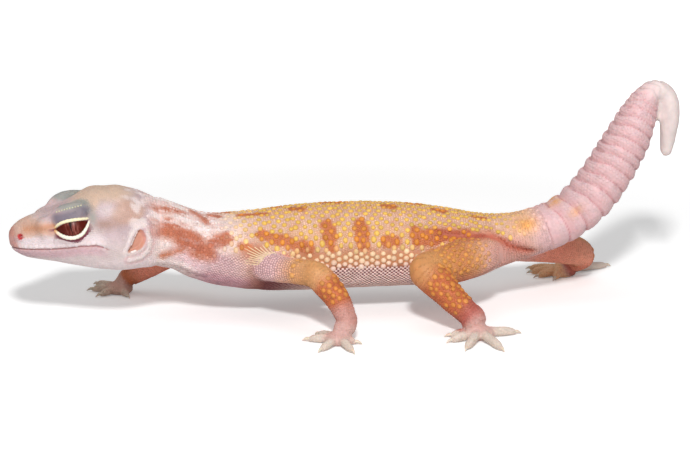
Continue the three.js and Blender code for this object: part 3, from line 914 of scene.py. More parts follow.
# %% [markdown]
# ## Colours that follow the animal
#
# Skin and scales take their colour from the same place-based rules, stored on the meshes as an attribute
# named Paint. A rule starts from the ground colour of a region and lays one marking after another over it,
# each with its own mask, as a model painter would with an airbrush.

# %% The palette, as linear red, green and blue
COLOURS = {name: np.array(value) for name, value in {
    "cheek": (0.61, 0.49, 0.48),
    "lip": (0.73, 0.60, 0.61),
    "lower lip": (0.58, 0.38, 0.41),
    "throat": (0.83, 0.69, 0.69),
    "snout": (0.64, 0.41, 0.33),
    "snout tip": (0.47, 0.19, 0.155),
    "snout stripe": (0.52, 0.25, 0.15),
    "nostril": (0.46, 0.03, 0.035),
    "mouth line": (0.34, 0.09, 0.10),
    "crown": (0.66, 0.46, 0.35),
    "brow": (0.31, 0.312, 0.285),
    "brow bead": (0.58, 0.54, 0.38),
    "upper lid": (0.155, 0.135, 0.175),
    "temple patch": (0.56, 0.33, 0.24),
    "temple": (0.54, 0.40, 0.42),
    "behind eye": (0.39, 0.24, 0.20),
    "ear": (0.60, 0.29, 0.21),
    "ear fringe": (0.90, 0.80, 0.78),
    "lid rim": (0.90, 0.80, 0.54),
    "lower rim": (0.89, 0.84, 0.71),
    # painted shadow under the rim of the lower lid and at the edge of the lids' opening
    "painted lid shadow": (0.16, 0.03, 0.05),
    "neck": (0.79, 0.65, 0.63),
    "neck blotch": (0.46, 0.14, 0.08),
    "neck rose": (0.66, 0.37, 0.33),
    "neck white": (0.90, 0.80, 0.80),
    "shoulder": (0.74, 0.50, 0.52),
    # painted shade: the darker pink under the chest
    "chest": (0.60, 0.34, 0.39),
    "fold": (0.76, 0.57, 0.36),
    "back": (0.84, 0.61, 0.48),
    "back crown": (0.77, 0.47, 0.26),
    "yellow": (0.77, 0.48, 0.10),
    "between": (0.76, 0.46, 0.34),
    "blotch": (0.56, 0.16, 0.04),
    "blotch knob": (0.66, 0.235, 0.03),
    "flank": (0.88, 0.63, 0.40),
    # flank gap and belly gap: painted shade on the skin between the flank's and the belly's scales
    "flank gap": (0.56, 0.25, 0.12),
    "belly": (0.91, 0.68, 0.63),
    "belly gap": (0.20, 0.05, 0.055),
    "upper arm": (0.74, 0.40, 0.20),
    "limb": (0.53, 0.145, 0.052),
    "limb knob": (0.69, 0.31, 0.04),
    "elbow": (0.60, 0.28, 0.10),
    # painted shade: the red-pink of the limbs' shaded inner and under sides
    "limb underside": (0.90, 0.34, 0.24),
    "wrist": (0.57, 0.28, 0.24),
    "ankle": (0.42, 0.065, 0.04),
    "behind thigh": (0.72, 0.40, 0.35),
    "hand": (0.64, 0.38, 0.34),
    "toe": (0.71, 0.59, 0.51),
    # painted shadow in the fold of the groin
    "groin": (0.50, 0.13, 0.08),
    # painted light: the feet of the far side are paler and warmer
    "far foot painted light": (0.95, 0.55, 0.30),
    # gap: painted shade between the back's granules; under the pleats partly the blotch's brown, partly shade
    "gap": (0.42, 0.12, 0.06),
    "tail": (0.73, 0.49, 0.50),
    # partly painted shade: on the tail's rings and beside the fold behind the ear
    "tail pink": (0.68, 0.37, 0.38),
    "tail joint": (0.50, 0.17, 0.18),
    "tail base": (0.78, 0.38, 0.12),
    "tail tip": (0.73, 0.62, 0.60),
}.items()}
PALEST, DARKEST = 0.95, 0.01
print(len(COLOURS), "colours in the palette")


def tint(colour, *layers):
    """Lays named colours over an array of colours, one after another: colour + (named - colour) · mask."""
    for name, mask in layers:
        strength = np.broadcast_to(np.clip(mask, 0, 1), len(colour))[:, None]
        colour = colour + (COLOURS[name] - colour) * strength
    return colour


def ground(name, points):
    """One named colour for every point."""
    return np.tile(COLOURS[name], (len(points), 1))


# %% [markdown]
# ### Blotches
#
# The brown blotches are drawn as short strokes on a flat map of the body's side, each flank its own. Noise
# added to the distance from a stroke gives it the ragged edge that skin pigment has.

# %% Blotches
# Distance from the snout and degrees of rise at the stroke's two ends, and its half width in millimetres.
LEFT_BLOTCHES = [
    (33, 24, 40, 21, 2), (40, 20, 45.2, 2, 3.2), (45.5, 12, 50.4, 33, 1.7), (36.5, 35, 41, 31, 1),
    (35.6, -22, 39.6, -6, 1),
    (32.3, 56, 34.4, 55, 0.8), (35.7, 59, 38.8, 63, 0.9), (41.2, 80, 44.6, 60, 0.8),
    (54.2, 20, 55.6, 19, 1.2), (59.2, 36, 64, 30, 1.5), (63, 29, 70.4, 15, 1.7),
    (75.2, 44, 76, 15, 1.6), (83.7, 46, 84.4, 17, 1.7), (90.6, 22, 92.4, 20, 1.6),
    (98.6, 24, 104, 31, 2.3), (104, 31, 110.6, 31, 2), (97.5, 38, 99.5, 34, 1),
    (46.4, 80, 48.4, 80, 0.9), (54.5, 80, 61.5, 78, 1), (67.6, 82, 70.2, 80, 1.1), (90.6, 81, 93, 80, 1),
    (103, 82, 105.4, 80, 1), (113, 78, 116, 76, 0.9),
]
RIGHT_BLOTCHES = [
    (32.5, 22, 38.5, 27, 2), (38.5, 25, 44, 12, 2.6), (45, 16, 49, 36, 1.7), (33, 52, 35.6, 58, 0.9),
    (38, 62, 41, 58, 0.9), (53, 30, 57.5, 26, 1.5), (61.5, 24, 66.5, 34, 1.8), (71.6, 40, 72.6, 16, 1.6),
    (79, 46, 80.6, 20, 1.8), (87, 26, 90, 34, 1.7), (95, 30, 101, 26, 2.2), (101, 26, 108, 33, 1.9),
    (49, 79, 53, 80, 1), (64, 80, 66.5, 79, 1), (76, 80, 81, 81, 1), (97, 80, 100, 80, 1),
]
FLANK_ARC = 0.185  # millimetres to a degree round the flank
FAN_SHIFT = 8  # how much further forward the right shoulder's pleats lie
print(len(LEFT_BLOTCHES), "strokes on the left side,", len(RIGHT_BLOTCHES), "on the right")


def blotch_mask(points, s, rise, on_left):
    """1 inside a blotch, 0 outside, with soft ragged edges: distance from each stroke, on a flat map of s and
    of rise in millimetres, less the stroke's half width and some noise."""
    arc = rise * FLANK_ARC
    ragged = 0.55 * noise(points, 1.6, 11) + 0.35 * noise(points, 3.4, 12)
    best = np.full(len(points), FAR_OFF)
    for strokes, side in ((LEFT_BLOTCHES, on_left), (RIGHT_BLOTCHES, ~on_left)):
        for s0, rise0, s1, rise1, half in strokes:
            start = np.array([s0, rise0 * FLANK_ARC])
            run = np.array([s1, rise1 * FLANK_ARC]) - start
            share = np.clip(((s - start[0]) * run[0] + (arc - start[1]) * run[1]) / (run @ run), 0, 1)
            gap = np.hypot(s - start[0] - share * run[0], arc - start[1] - share * run[1]) - half
            best = np.where(side, np.minimum(best, gap), best)
    softness = 0.45 + 1.0 * fall(46, 54, s)
    return fall(-1, 1, (best + ragged) / softness)


# %% [markdown]
# ### Markings of the trunk and the tail
#
# The ground turns from white and rose on the neck, through lilac at the shoulder, to orange and yellow on the
# back and a pale belly. The tail is pink, with darker joints between its rings and orange at its root.


# %% Markings of the trunk and the tail
def paint_neck(colour, points, s, rise, on_left):
    """The blotches of neck and back, and the neck's flecks of rose and white, placed by stretched noise."""
    stretched = np.column_stack([s * 0.45, rise * 0.3, s * 0])
    flecks = noise(stretched, 1.0, 14) * between(28, 33, 46, 54, s)
    mottled = (0.9 + 0.15 * noise(points, 1.8, 13)) * (0.35 + 0.65 * smooth(-12, 4, rise))
    blotched = blotch_mask(points, s, rise, on_left)
    return tint(
        colour,
        ("blotch", 0.92 * blotched * (s < 120)),
        ("neck rose", 0.45 * smooth(0.0, 0.5, flecks) * smooth(25, 50, rise)),
        ("neck blotch", mottled * blotched * fall(49, 55, s)),
        ("neck white", 0.5 * smooth(0.05, 0.5, -flecks) * (0.25 + 0.75 * smooth(24, 40, rise))),
    )


def paint_tail(colour, s, rise, soft, fine):
    """Pink from the tail's root on, its rings' joints darker, its root orange on the back, its tip white."""
    _, through_ring = ring_phase(s, rise)
    ringed = between(128, 134, 172, 177, s)
    root = (bell(s, 125.6, 3.0) * bell(rise, 40, 26) + bell(s, 135.5, 2.0) * bell(rise, 75, 14)
            + 0.7 * bell(s, 138.6, 2.2) * bell(rise, 18, 12))
    return tint(
        colour,
        ("tail", smooth(123, 131, s + 1.6 * soft - 0.03 * (rise - 30))),
        ("tail base", root),
        # partly painted shade: each ring is pinker on its slope towards the near joint; the noise adds pink
        # at random
        ("tail pink", ringed * (0.45 * bell(through_ring, 0.3, 0.3) + 0.3 * fine)),
        ("tail joint", 0.75 * ringed * (fall(0, 0.09, through_ring) + smooth(0.94, 1.0, through_ring))),
        ("tail tip", smooth(170, 176, s)),
    )


def paint_body(points, s, rise, on_left):
    """Ground colours and markings from the neck to the tail's tip."""
    soft = noise(points, 5.0, 21)
    fine = noise(points, 1.3, 22)
    behind = s + FAN_SHIFT * ~on_left
    flank = between(54, 62, 108, 116, s)
    colour = tint(
        ground("between", points),
        ("back", 0.5 + 0.5 * fine),
        ("back crown", 0.75 * smooth(58, 80, rise + 5 * soft) * smooth(44, 52, s)),
        # towards the shoulder the ground turns from orange to lilac and white
        ("neck", 0.85 * fall(46, 58, s + 3 * soft)),
        ("neck", 0.35 * fall(56, 68, s) * smooth(10, 30, rise)),
        ("shoulder", between(34, 42, 50, 62, s) * fall(-6, 14, rise + 8 * soft)),
        # painted shade: the underside of the chest is darker pink
        ("chest", between(40, 48, 62, 72, s) * fall(-44, -22, rise)),
        ("neck", 0.9 * fall(-34, -24, rise) * between(30, 34, 42, 48, s)),
        # under the shoulder's pleats: partly the blotch's own brown, partly painted shade between the pleats
        ("gap", bell(behind, 57.4, 3.6) * bell(rise, 12, 14)),
        # the flank pales; the skin between the flank's and the belly's scales is painted dark as shade
        ("yellow", 0.22 * flank * bell(rise, 30, 16)),
        ("flank gap", flank * fall(2, 20, rise + 4 * soft)),
        ("belly gap", flank * fall(-18, -8, rise)),
    )
    colour = paint_neck(colour, points, s, rise, on_left)
    colour = tint(
        colour,
        ("blotch", 0.4 * bell(s, 113, 5) * bell(rise, 34, 14)),
        ("behind thigh", 0.7 * between(108, 114, 122, 128, s) * fall(-5, 20, rise)),
    )
    return paint_tail(colour, s, rise, soft, fine) * (1 + 0.06 * fine + 0.05 * soft)[:, None]


# %% [markdown]
# ### Markings of the head
#
# The face is pale lilac and rose with a stripe from the nostril to the eye, a grey brow, an orange crown, a
# thin dark line at the mouth, a painted highlight in front of the eye and painted shadow under it. The forms
# repeat from side to side, the noise doesn't.


# %% Markings of the head
def paint_muzzle(colour, x, z, gap, soft):
    """Snout, its stripe, the lips and the throat, gap being the height above the mouth's line."""
    mouthed = fall(-60.0, -56.5, x)
    slope = z + 0.05 * (x + 72)
    stripe = bell(slope, 26.1 + 0.25 * (x + 73), 1.0)
    lip_top = np.interp(x, [-79, -76, -72], [1.4, 2.5, 3.7])
    return tint(
        colour,
        ("temple", smooth(-62, -56, x + soft) * smooth(20, 24, z)),
        ("throat", fall(16.5, 20.5, z + 0.7 * soft)),
        ("snout", smooth(-0.6, 0.6, gap + 0.35 * soft - lip_top) * fall(-69.5, -66.0, x + 0.8 * soft)),
        ("snout stripe", 0.95 * stripe * between(-78.2, -76.5, -70.3, -68.5, x)),
        # painted highlight: a pale band along the ridge from the nostril to the front of the eye, above the
        # stripe
        ("cheek", 0.6 * bell(slope, 28.0 + 0.1 * (x + 73), 0.6) * between(-76.5, -74.0, -70.5, -69.0, x)),
        ("lip", mouthed * smooth(0.1, 0.5, gap) * fall(2.2, 3.6, gap + 0.3 * soft)),
        ("lower lip", mouthed * smooth(0.1, 0.5, -gap) * fall(1.4, 3.0, -gap + 0.3 * soft)),
        ("snout tip", 0.8 * fall(-79.2, -77.4, x + 0.25 * (z - 22)) * (gap > 0)),
    )


def paint_crown(colour, x, z, mid, soft, along, up, far):
    """Crown, temples, brow and upper lid, mid being the distance from the head's middle plane."""
    aside = mid > 3
    patch = bell(x, -53.8, 3.4) * bell(z, 28.8, 2.2) + bell(x, -51.5, 3.0) * bell(z, 30.2, 2.0)
    crown = smooth(0, 2.5, z - 27.5 - 3.2 * smooth(-62, -58.5, x) + 0.5 * soft)
    over_eye = fall(EYE_RADIUS + 1.6, EYE_RADIUS + 3.2, far) * smooth(0.08, 0.3, up)
    over_eye = over_eye * fall(0.75, 1.25, np.abs(along - 0.15) + 0.12 * soft) * smooth(2.0, 3.4, mid)
    height = (z - 31.2 + 0.28 * np.maximum(x + 65.5, 0)) / 1.9
    crest = np.exp(-(((x + 64.4) / 5.4) ** 2 + height**2 + ((mid - 5.2) / 2.8) ** 2) ** 1.3)
    crest = np.maximum(crest, 0.5 * bell(x, -61.2, 1.3) * bell(z, 28.6, 2.2) * smooth(4, 7, mid))
    return tint(
        colour,
        ("temple", 0.8 * smooth(26.9, 28.4, z + 0.3 * soft) * smooth(-75, -71, x)),
        ("crown", crown * smooth(-68, -63, x) * fall(-54, -48, x + 1.5 * soft)),
        ("temple patch", 0.75 * smooth(-0.3, 0.45, patch - 0.45 + 0.3 * soft) * aside),
        ("neck", 0.55 * bell(x, -57.6, 2.0) * bell(z, 30.2, 1.2) * aside),
        ("behind eye", 0.95 * bell(x + soft, -57.6, 3.2) * bell(z, 27.3, 1.4) * aside),
        ("brow", 0.92 * smooth(0.08, 0.62, crest + 0.12 * soft)),
        ("upper lid", 0.9 * over_eye * (1 - 0.9 * smooth(0.5, 0.85, up))),
    )


def paint_head(points):
    """All the face's markings and its painted light and shade, worked out on the left half and mirrored."""
    left = folded(points)
    x, y, z = left.T
    soft = noise(points, 3.2, 31)
    fine = noise(points, 1.0, 32)
    mid = np.abs(points[:, 1] - MID_HEAD)
    gap = from_mouth(left)
    along, up, far = eye_place(left)
    colour = paint_muzzle(ground("cheek", points), x, z, gap, soft)
    colour = paint_crown(colour, x, z, mid, soft, along, up, far)
    # the neck's white spreads forwards in flecks, round the ear and along the fold behind it
    white = smooth(-0.15, 0.5, noise(points, 1.7, 33) + 0.5 * fine + 0.14 * (x + 50.5))
    ear = from_ear(left, EAR, EAR_WIDTH)
    ear_fold = from_ear(left, EAR_FOLD)
    nostril = np.linalg.norm(left - NOSTRIL, axis=1)
    margin = in_opening(along, up)
    close = (far < EYE_RADIUS + 2.2) & (y < -7)
    under = close * (up < 0.0) * fall(0.85, 1.2, np.abs(along))
    colour = tint(
        colour,
        ("neck", 0.85 * white * smooth(-58, -50, x) * smooth(21, 25, z)),
        ("neck", 0.9 * bell(ear, 0.9, 0.6)),
        ("ear", fall(-0.15, 0.15, ear)),
        ("neck", 0.4 * bell(x + soft, -55.8, 3.4) * bell(z, 22.6, 1.9) * (ear > 1.5)),
        ("mouth line", fall(-58.6, -57.0, x) * 0.85 * bell(gap, 0, 0.2)),
        ("nostril", fall(0.55, 1.15, nostril)),
        # painted shadow: a dark line under the rim of the lower lid
        ("painted lid shadow", under * smooth(-1.95, -1.6, margin)),
        # painted shade: a darker pink band beside the fold behind the ear
        ("tail pink", 0.45 * bell(ear_fold, 0.95, 0.4)),
        ("neck", 0.8 * bell(ear_fold, 0, 0.5)),
        # painted shade at the edge of the lids' opening, where the skin tucks in under the eyeball
        ("painted lid shadow", close * smooth(-0.3, -0.02, margin)),
    )
    return colour * (1 + 0.05 * fine + 0.04 * soft)[:, None]


# %% [markdown]
# ### Colours of the limbs
#
# An arm starts lilac like the shoulder and turns orange towards the elbow, a leg is orange from the start,
# and both pale to a rose wrist or ankle and cream toes. Painted shade makes their under and inner sides
# warmer pink.


# %% Colours of the limbs
def paint_limb(points, at, is_hind):
    """A limb's colours along its chain: at 0 inside the trunk, 3 at the elbow or knee, 6 at the wrist."""
    soft = noise(points, 2.6, 41)
    fine = noise(points, 1.1, 42)
    late = np.where(is_hind > 0, 1.0, 2.2 * (points[:, 1] > 0))  # the pale wrist starts lower down
    colour = tint(
        ground("shoulder", points),
        ("upper arm", np.where(is_hind, 1.0, smooth(1.0, 2.2, at + 0.3 * soft))),
        ("limb", 0.8 * smooth(0.8, 2.0, at) * is_hind),
        ("elbow", 0.9 * bell(at + 0.2 * soft, 3.0, 0.62) + 0.4 * is_hind * fall(2.4, 3.0, at)),
        ("limb", smooth(3.3, 4.0, at + 0.2 * soft)),
        ("wrist", smooth(4.7, 5.6, at + 0.25 * soft - 0.45 * late)),
        ("ankle", 0.75 * is_hind * bell(at + 0.2 * soft, 5.85, 0.55)),
        ("hand", smooth(5.8, 6.7, at + 0.2 * soft)),
    )
    return colour * (1 + 0.07 * fine + 0.05 * soft)[:, None]


def toe_share(points, low_z=4.0):
    """How far out along a toe a low point lies: its distance from the nearest palm, from 0 to 1."""
    palms = np.array([shape["palm"] for shape in LEGS.values()])
    far = np.sqrt(((points[:, None, :2] - palms[None]) ** 2).sum(2)).min(1)
    return smooth(1.8, 4.8, far) * fall(low_z, low_z + 1.5, points[:, 2])


# %% [markdown]
# ### Where on the animal a point lies
#
# `survey` answers once, for many points at a time, everything that the rules above ask. `paint` then blends
# trunk, head and limbs by how much each point belongs to them.


# %% Where on the animal a point lies
def survey(points):
    """Everything the markings ask about points: s, rise, side, distance outside the trunk, and for the
    nearest limb its number, the place along it, and how far the point belongs to it."""
    s, degrees, outside, rows = body_place(points)
    at = np.zeros(len(points))
    inner = np.zeros(len(points))
    gap = np.full(len(points), 99.0)
    leg_number = np.zeros(len(points), int)
    reach = 16
    for number, leg in enumerate(LEGS):
        chain = limb_chain(leg)
        low, high = chain[:, :3].min(0) - reach, chain[:, :3].max(0) + reach
        near = np.flatnonzero(np.all((points > low) & (points < high), axis=1))
        if len(near) == 0:
            continue
        place, distance = limb_place(points[near], chain)
        closer = distance < gap[near]
        near, place = near[closer], place[closer]
        at[near], gap[near], leg_number[near] = place, distance[closer], number
        middle = spline(chain, place)
        inwards = 1 if leg.endswith("left") else -1
        inner[near] = inwards * (points[near, 1] - middle[:, 1]) / middle[:, 3]
    return {"root": points, "s": s, "degrees": degrees, "rise": elevation(degrees), "outside": outside,
            "rows": rows, "left": points[:, 1] < along_spine(SPINE, rows)[:, 1], "at": at, "gap": gap,
            "leg": leg_number, "limb": smooth(-0.9, 0.9, outside - gap) * (gap < 14), "inner": inner}


def paint(place):
    """The colour at each surveyed point: head, body and limbs, blended where they meet."""
    points, s, rise, at, outside = (place[key] for key in ("root", "s", "rise", "at", "outside"))
    z = points[:, 2]
    colour = paint_body(points, s, rise, place["left"])
    head = fall(31.0, 35.5, s + 1.0 * noise(points, 2.0, 51))
    head = head * (1 - place["limb"] * smooth(0.8, 2.0, outside))
    on_head = head > 0
    face = paint_head(points[on_head])
    colour[on_head] += (face - colour[on_head]) * head[on_head, None]
    limb = place["limb"] * (1 - head)
    hind = (place["leg"] >= 2).astype(float)
    # painted shade: each thigh's underside and every limb's inner side take the warmer red-pink of shaded
    # flesh
    limbs = tint(
        paint_limb(points, at, hind),
        ("limb underside", 0.6 * hind * bell(at, 1.6, 1.0) * fall(10.5, 13.5, z)),
        ("limb underside", 0.8 * smooth(-0.1, 0.6, place["inner"]) * fall(4.8, 6.0, at)),
    )
    blend = limb * np.where(hind > 0, smooth(0.5, 1.7, at), smooth(0.0, 0.8, at))
    colour += (limbs - colour) * blend[:, None]
    groin = from_groin(s, rise)
    behind = between(112, 116, 122, 127, s) * fall(8, 24, rise)
    past_wrist = smooth(5.9, 6.7, at)
    foot = limb * past_wrist
    toe = toe_share(points) * (outside > 1) * np.maximum(past_wrist, smooth(1.0, 2.0, place["gap"]))
    colour = tint(
        colour,
        ("behind thigh", 0.75 * behind * (z > 9) * (np.abs(points[:, 1]) < 14)),
        # painted shadow in the groin's fold: dark along its line, fainter in a wider band
        ("groin", 0.95 * bell(groin, 0, 0.75) + 0.3 * bell(groin, 0.8, 1.6)),
        ("hand", foot),
        ("toe", toe),
        # painted light: the far side's feet, above all the far hind foot, are paler and warmer than the near
        # ones
        ("far foot painted light", (0.2 + 0.7 * hind) * foot * (points[:, 1] > 0)),
    )
    return np.clip(colour, DARKEST, PALEST)


# %% [markdown]
# ### Painting the skin
#
# The skin is painted as the scales will be and then darkened where granules and the belly's lattice stand on
# it, as painted shade in the narrow gaps between the scales. The lids' rims have colours of their own.

# %% Painting the skin
skin_place = survey(placed)
skin_paint = paint(skin_place)
s, rise, at, limb = (skin_place[key] for key in ("s", "rise", "at", "limb"))
pebbled = (limb < 0.5) * between(52, 60, 116, 124, s)
latticed = between(44, 50, 62, 70, s) * fall(0, 12, rise)
latticed = np.maximum(latticed, limb * (skin_place["leg"] < 2) * fall(2.0, 2.8, at))
# painted shade: the skin under the back's granules and under the lattice of the chest and upper arms is
# darkened
skin_paint = tint(skin_paint, ("gap", 0.4 * pebbled * smooth(2, 10, rise)), ("belly gap", 0.45 * latticed))
one_rim = len(rim_parts[0][0])  # the rims come as upper left, upper right, lower left, lower right
skin_paint[on_rim >= 0] = COLOURS["lid rim"]
skin_paint[on_rim >= 2 * one_rim] = COLOURS["lower rim"]
front_corner = fall(-1.05, -0.65, eye_place(folded(placed[on_rim >= 0]))[0])
skin_paint[on_rim >= 0] = tint(skin_paint[on_rim >= 0], ("tail base", 0.9 * front_corner))
print("skin painted, on average", skin_paint.mean(0).round(2))

# %% [markdown]
# ## Materials
#
# Skin, scales, eyes and claws are all shaded by a Principled node. On skin and scales the colour comes from
# Paint, so one material serves every family of scales. What the two share - the grain too fine to be
# modelled - is a node group that gives out a colour and a height.


# %% Node tools
def feed(tree, node, inputs):
    """Sets a node's inputs by name or number; a value that is another node's output is linked instead."""
    for name, value in inputs.items():
        if isinstance(value, bpy.types.NodeSocket):
            tree.links.new(value, node.inputs[name])
        else:
            node.inputs[name].default_value = value


def add(tree, kind, inputs=None, **settings):
    """A new node of one kind, with its settings and its inputs."""
    node = tree.nodes.new(kind)
    for name, value in settings.items():
        setattr(node, name, value)
    feed(tree, node, inputs or {})
    return node


def combined(tree, operation, *values):
    """What a Math node gives out; each value is a number or another node's output."""
    return add(tree, "ShaderNodeMath", dict(enumerate(values)), operation=operation).outputs[0]


def soft_range(tree, value, low, high):
    """A Map Range node: 0 at low and 1 at high, with a soft step between them."""
    inputs = {"Value": value, "From Min": low, "From Max": high}
    return add(tree, "ShaderNodeMapRange", inputs, interpolation_type="SMOOTHSTEP").outputs["Result"]


def mixed(tree, share, first, second):
    """One colour changing into another as a share goes from 0 to 1."""
    inputs = {"A": first, "B": second, "Factor": share}
    return add(tree, "ShaderNodeMix", inputs, data_type="RGBA").outputs["Result"]


def place_on(tree):
    """The object's own coordinates."""
    return add(tree, "ShaderNodeTexCoord").outputs["Object"]


def node_tree(name):
    """A new material's node tree with its Principled node, linked to the output."""
    material = bpy.data.materials.new(name)
    material.use_nodes = True
    tree = material.node_tree
    tree.nodes.clear()
    shader = add(tree, "ShaderNodeBsdfPrincipled")
    add(tree, "ShaderNodeOutputMaterial", {"Surface": shader.outputs["BSDF"]})
    return material, tree, shader


# %% [markdown]
# ### Fine grain
#
# A gecko's smallest granules are finer than the mesh. Two textures stand in for them: small cells as a bump,
# and larger soft patches as a change of colour.


# %% Fine grain
def grain_group():
    """Gives a colour back times 1 + mottling · (patches - 0.5), with a height of 1 - distance from the middle
    of the nearest cell, both read from the object's own coordinates."""
    group = bpy.data.node_groups.new("Fine grain", "ShaderNodeTree")
    for name, way, kind in (("Color", "INPUT", "Color"), ("Cells per Metre", "INPUT", "Float"),
                            ("Mottling", "INPUT", "Float"), ("Color", "OUTPUT", "Color"),
                            ("Height", "OUTPUT", "Float")):
        group.interface.new_socket(name, in_out=way, socket_type="NodeSocket" + kind)
    source = add(group, "NodeGroupInput").outputs
    place = place_on(group)
    cells = add(group, "ShaderNodeTexVoronoi", {"Vector": place, "Scale": source["Cells per Metre"]},
                feature="F1", distance="EUCLIDEAN")
    patches = add(group, "ShaderNodeTexNoise", {"Vector": place, "Scale": 900.0, "Detail": 3.0})
    centred = combined(group, "SUBTRACT", patches.outputs["Fac"], 0.5)
    gain = combined(group, "MULTIPLY_ADD", centred, source["Mottling"], 1.0)
    scaled = add(group, "ShaderNodeVectorMath", {0: source["Color"], "Scale": gain}, operation="SCALE")
    height = combined(group, "SUBTRACT", 1.0, cells.outputs["Distance"])
    add(group, "NodeGroupOutput", {"Color": scaled.outputs["Vector"], "Height": height})
    return group


FINE_GRAIN = grain_group()


def painted_material(name, roughness, cells, bump, mottling, flesh):
    """Skin or scales: Paint through the fine grain, bumped by its height, with a little light let in."""
    material, tree, shader = node_tree(name)
    painted = add(tree, "ShaderNodeAttribute", attribute_name="Paint").outputs["Color"]
    grain = add(tree, "ShaderNodeGroup", node_tree=FINE_GRAIN)
    feed(tree, grain, {"Color": painted, "Cells per Metre": cells, "Mottling": mottling})
    bumps = add(tree, "ShaderNodeBump", {"Height": grain.outputs["Height"], "Strength": bump,
                                         "Distance": 0.0001})
    feed(tree, shader, {"Base Color": grain.outputs["Color"], "Normal": bumps.outputs["Normal"],
                        "Roughness": roughness, "Specular IOR Level": 0.35, "Subsurface Weight": flesh,
                        "Subsurface Radius": (1.0, 0.35, 0.2), "Subsurface Scale": 0.0006})
    return material


SKIN_MATERIAL = painted_material("Skin", 0.55, 3600.0, 0.35, 0.25, 0.15)
SCALE_MATERIAL = painted_material("Scales", 0.58, 9000.0, 0.15, 0.22, 0.1)
print("materials ready:", ", ".join(material.name for material in (SKIN_MATERIAL, SCALE_MATERIAL)))

# %% [markdown]
# ## Finished pieces
#
# Every finished piece has its place in its mesh, in metres, and rides on the model's one body. Smooth shading
# and the Paint attribute are set here for all of them.


# %% Finished pieces
def finished(mesh, points, colours, material, replaces=()):
    """An object from a mesh: its points moved from millimetres to (point + shift) / 1000 metres, coloured at
    its points, with one material."""
    set_points(mesh, (points + SHIFT) / 1000)
    mesh.polygons.foreach_set("use_smooth", np.ones(len(mesh.polygons), bool))
    layer = mesh.color_attributes.new("Paint", "FLOAT_COLOR", "POINT")
    rgba = np.column_stack([colours, np.ones(len(colours))]).astype(np.float32)
    layer.data.foreach_set("color", rgba.ravel())
    mesh.materials.clear()
    mesh.materials.append(material)
    mesh.update()
    piece = in_scene(mesh.name, mesh)
    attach(piece, "root")
    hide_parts(*replaces)
    print(f"{mesh.name}: {triangle_count(mesh)} triangles")


# %% [markdown]
# ### The skin piece
#
# One skin takes the place of all the solids of flesh. A copy of its form stays in millimetres, for the scales
# to stand on.

# %% The skin piece
LIMB_NODES = {"front": ("upper_arm", "forearm", "hand"), "hind": ("thigh", "shin", "foot")}
FLESH = ["head", "lower_jaw", "neck", "chest", "belly", "hips"]
FLESH += [f"tail_{part}" for part in ("base", "middle", "end", "tip")]
FLESH += [f"{leg}_{part}" for leg in LEGS for part in LIMB_NODES[leg.split("_")[0]]]
skin_form = skin_mesh.copy()
skin_mesh.name = "skin"
finished(skin_mesh, placed, skin_paint, SKIN_MATERIAL, FLESH)

# %% [markdown]
# ## Eyes
#
# The eyes are hard, wet and dark, so each is a separate ball with a clear coat. By day the pupil is a ragged
# upright slit, darker than the maroon iris; it is drawn from the ball's own coordinates.


# %% Eyes
MAROON, ROSE, PUPIL = (0.08, 0.006, 0.002, 1), (0.34, 0.11, 0.09, 1), (0.018, 0.002, 0.003, 1)
LID_GAP = 0.02  # how much smaller the ball is than the solid's


def eye_material(name, centre, mirror):
    """The eyeball: iris mottled between maroon and rose and brightest in its middle, and a dark ragged slit
    for a pupil, under a clear coat. Both are measured across and up the way the eye looks."""
    material, tree, shader = node_tree(name)
    vector_math = "ShaderNodeVectorMath"
    middle = tuple((centre + SHIFT) / 1000)
    off = add(tree, vector_math, {0: place_on(tree), 1: middle}, operation="SUBTRACT").outputs["Vector"]
    across, upwards = (
        add(tree, vector_math, {0: off, 1: tuple(direction * mirror * 1000 / EYE_RADIUS)},
            operation="DOT_PRODUCT").outputs["Value"] for direction in (EYE_BACK, EYE_UP))
    flattened = combined(tree, "MULTIPLY", upwards, 0.22)
    drawn_out = add(tree, "ShaderNodeCombineXYZ", {"X": across, "Y": flattened}).outputs["Vector"]
    veins = add(tree, "ShaderNodeTexNoise", {"Vector": drawn_out, "Scale": 9.0, "Detail": 4.0,
                                             "Roughness": 0.65}).outputs["Fac"]
    ragged = combined(tree, "MULTIPLY_ADD", veins, 0.14, -0.07)
    from_middle = combined(tree, "ABSOLUTE", combined(tree, "ADD", across, ragged))
    tall = combined(tree, "MULTIPLY", combined(tree, "ABSOLUTE", upwards), 0.1)
    slit = soft_range(tree, combined(tree, "ADD", from_middle, tall), 0.035, 0.09)
    contrast = add(tree, "ShaderNodeMapRange", {"Value": veins, "From Min": 0.45, "From Max": 0.68})
    bright = soft_range(tree, combined(tree, "ABSOLUTE", combined(tree, "ADD", across, -0.05)), 0.55, 0.08)
    rosy = combined(tree, "MULTIPLY", contrast.outputs["Result"], bright)
    iris = mixed(tree, rosy, MAROON, ROSE)
    feed(tree, shader, {"Base Color": mixed(tree, slit, PUPIL, iris), "Roughness": 0.4, "Coat Weight": 0.1,
                        "Coat Roughness": 0.28, "Specular IOR Level": 0.12})
    return material


EYE_RIGHT = EYE_LEFT + [0, EYE_GAP, 0]
for side, centre, mirror in (("left", EYE_LEFT, [1, 1, 1]), ("right", EYE_RIGHT, [1, -1, 1])):
    points, faces = ball_shell(centre, (EYE_RADIUS - LID_GAP,) * 3, rings=38, sides=64)
    finished(mesh_of("eyeball_" + side, points, faces), points, np.tile((0.1, 0.01, 0.01), (len(points), 1)),
             eye_material("Eye " + side, centre, np.array(mirror)), ["eye_" + side])


# %% [markdown]
# ## Claws
#
# A claw is a small horn, curved down and pointed. Each is a thin tube that starts inside its toe's tip, so
# that no gap shows round it, and the five of a foot are one piece.


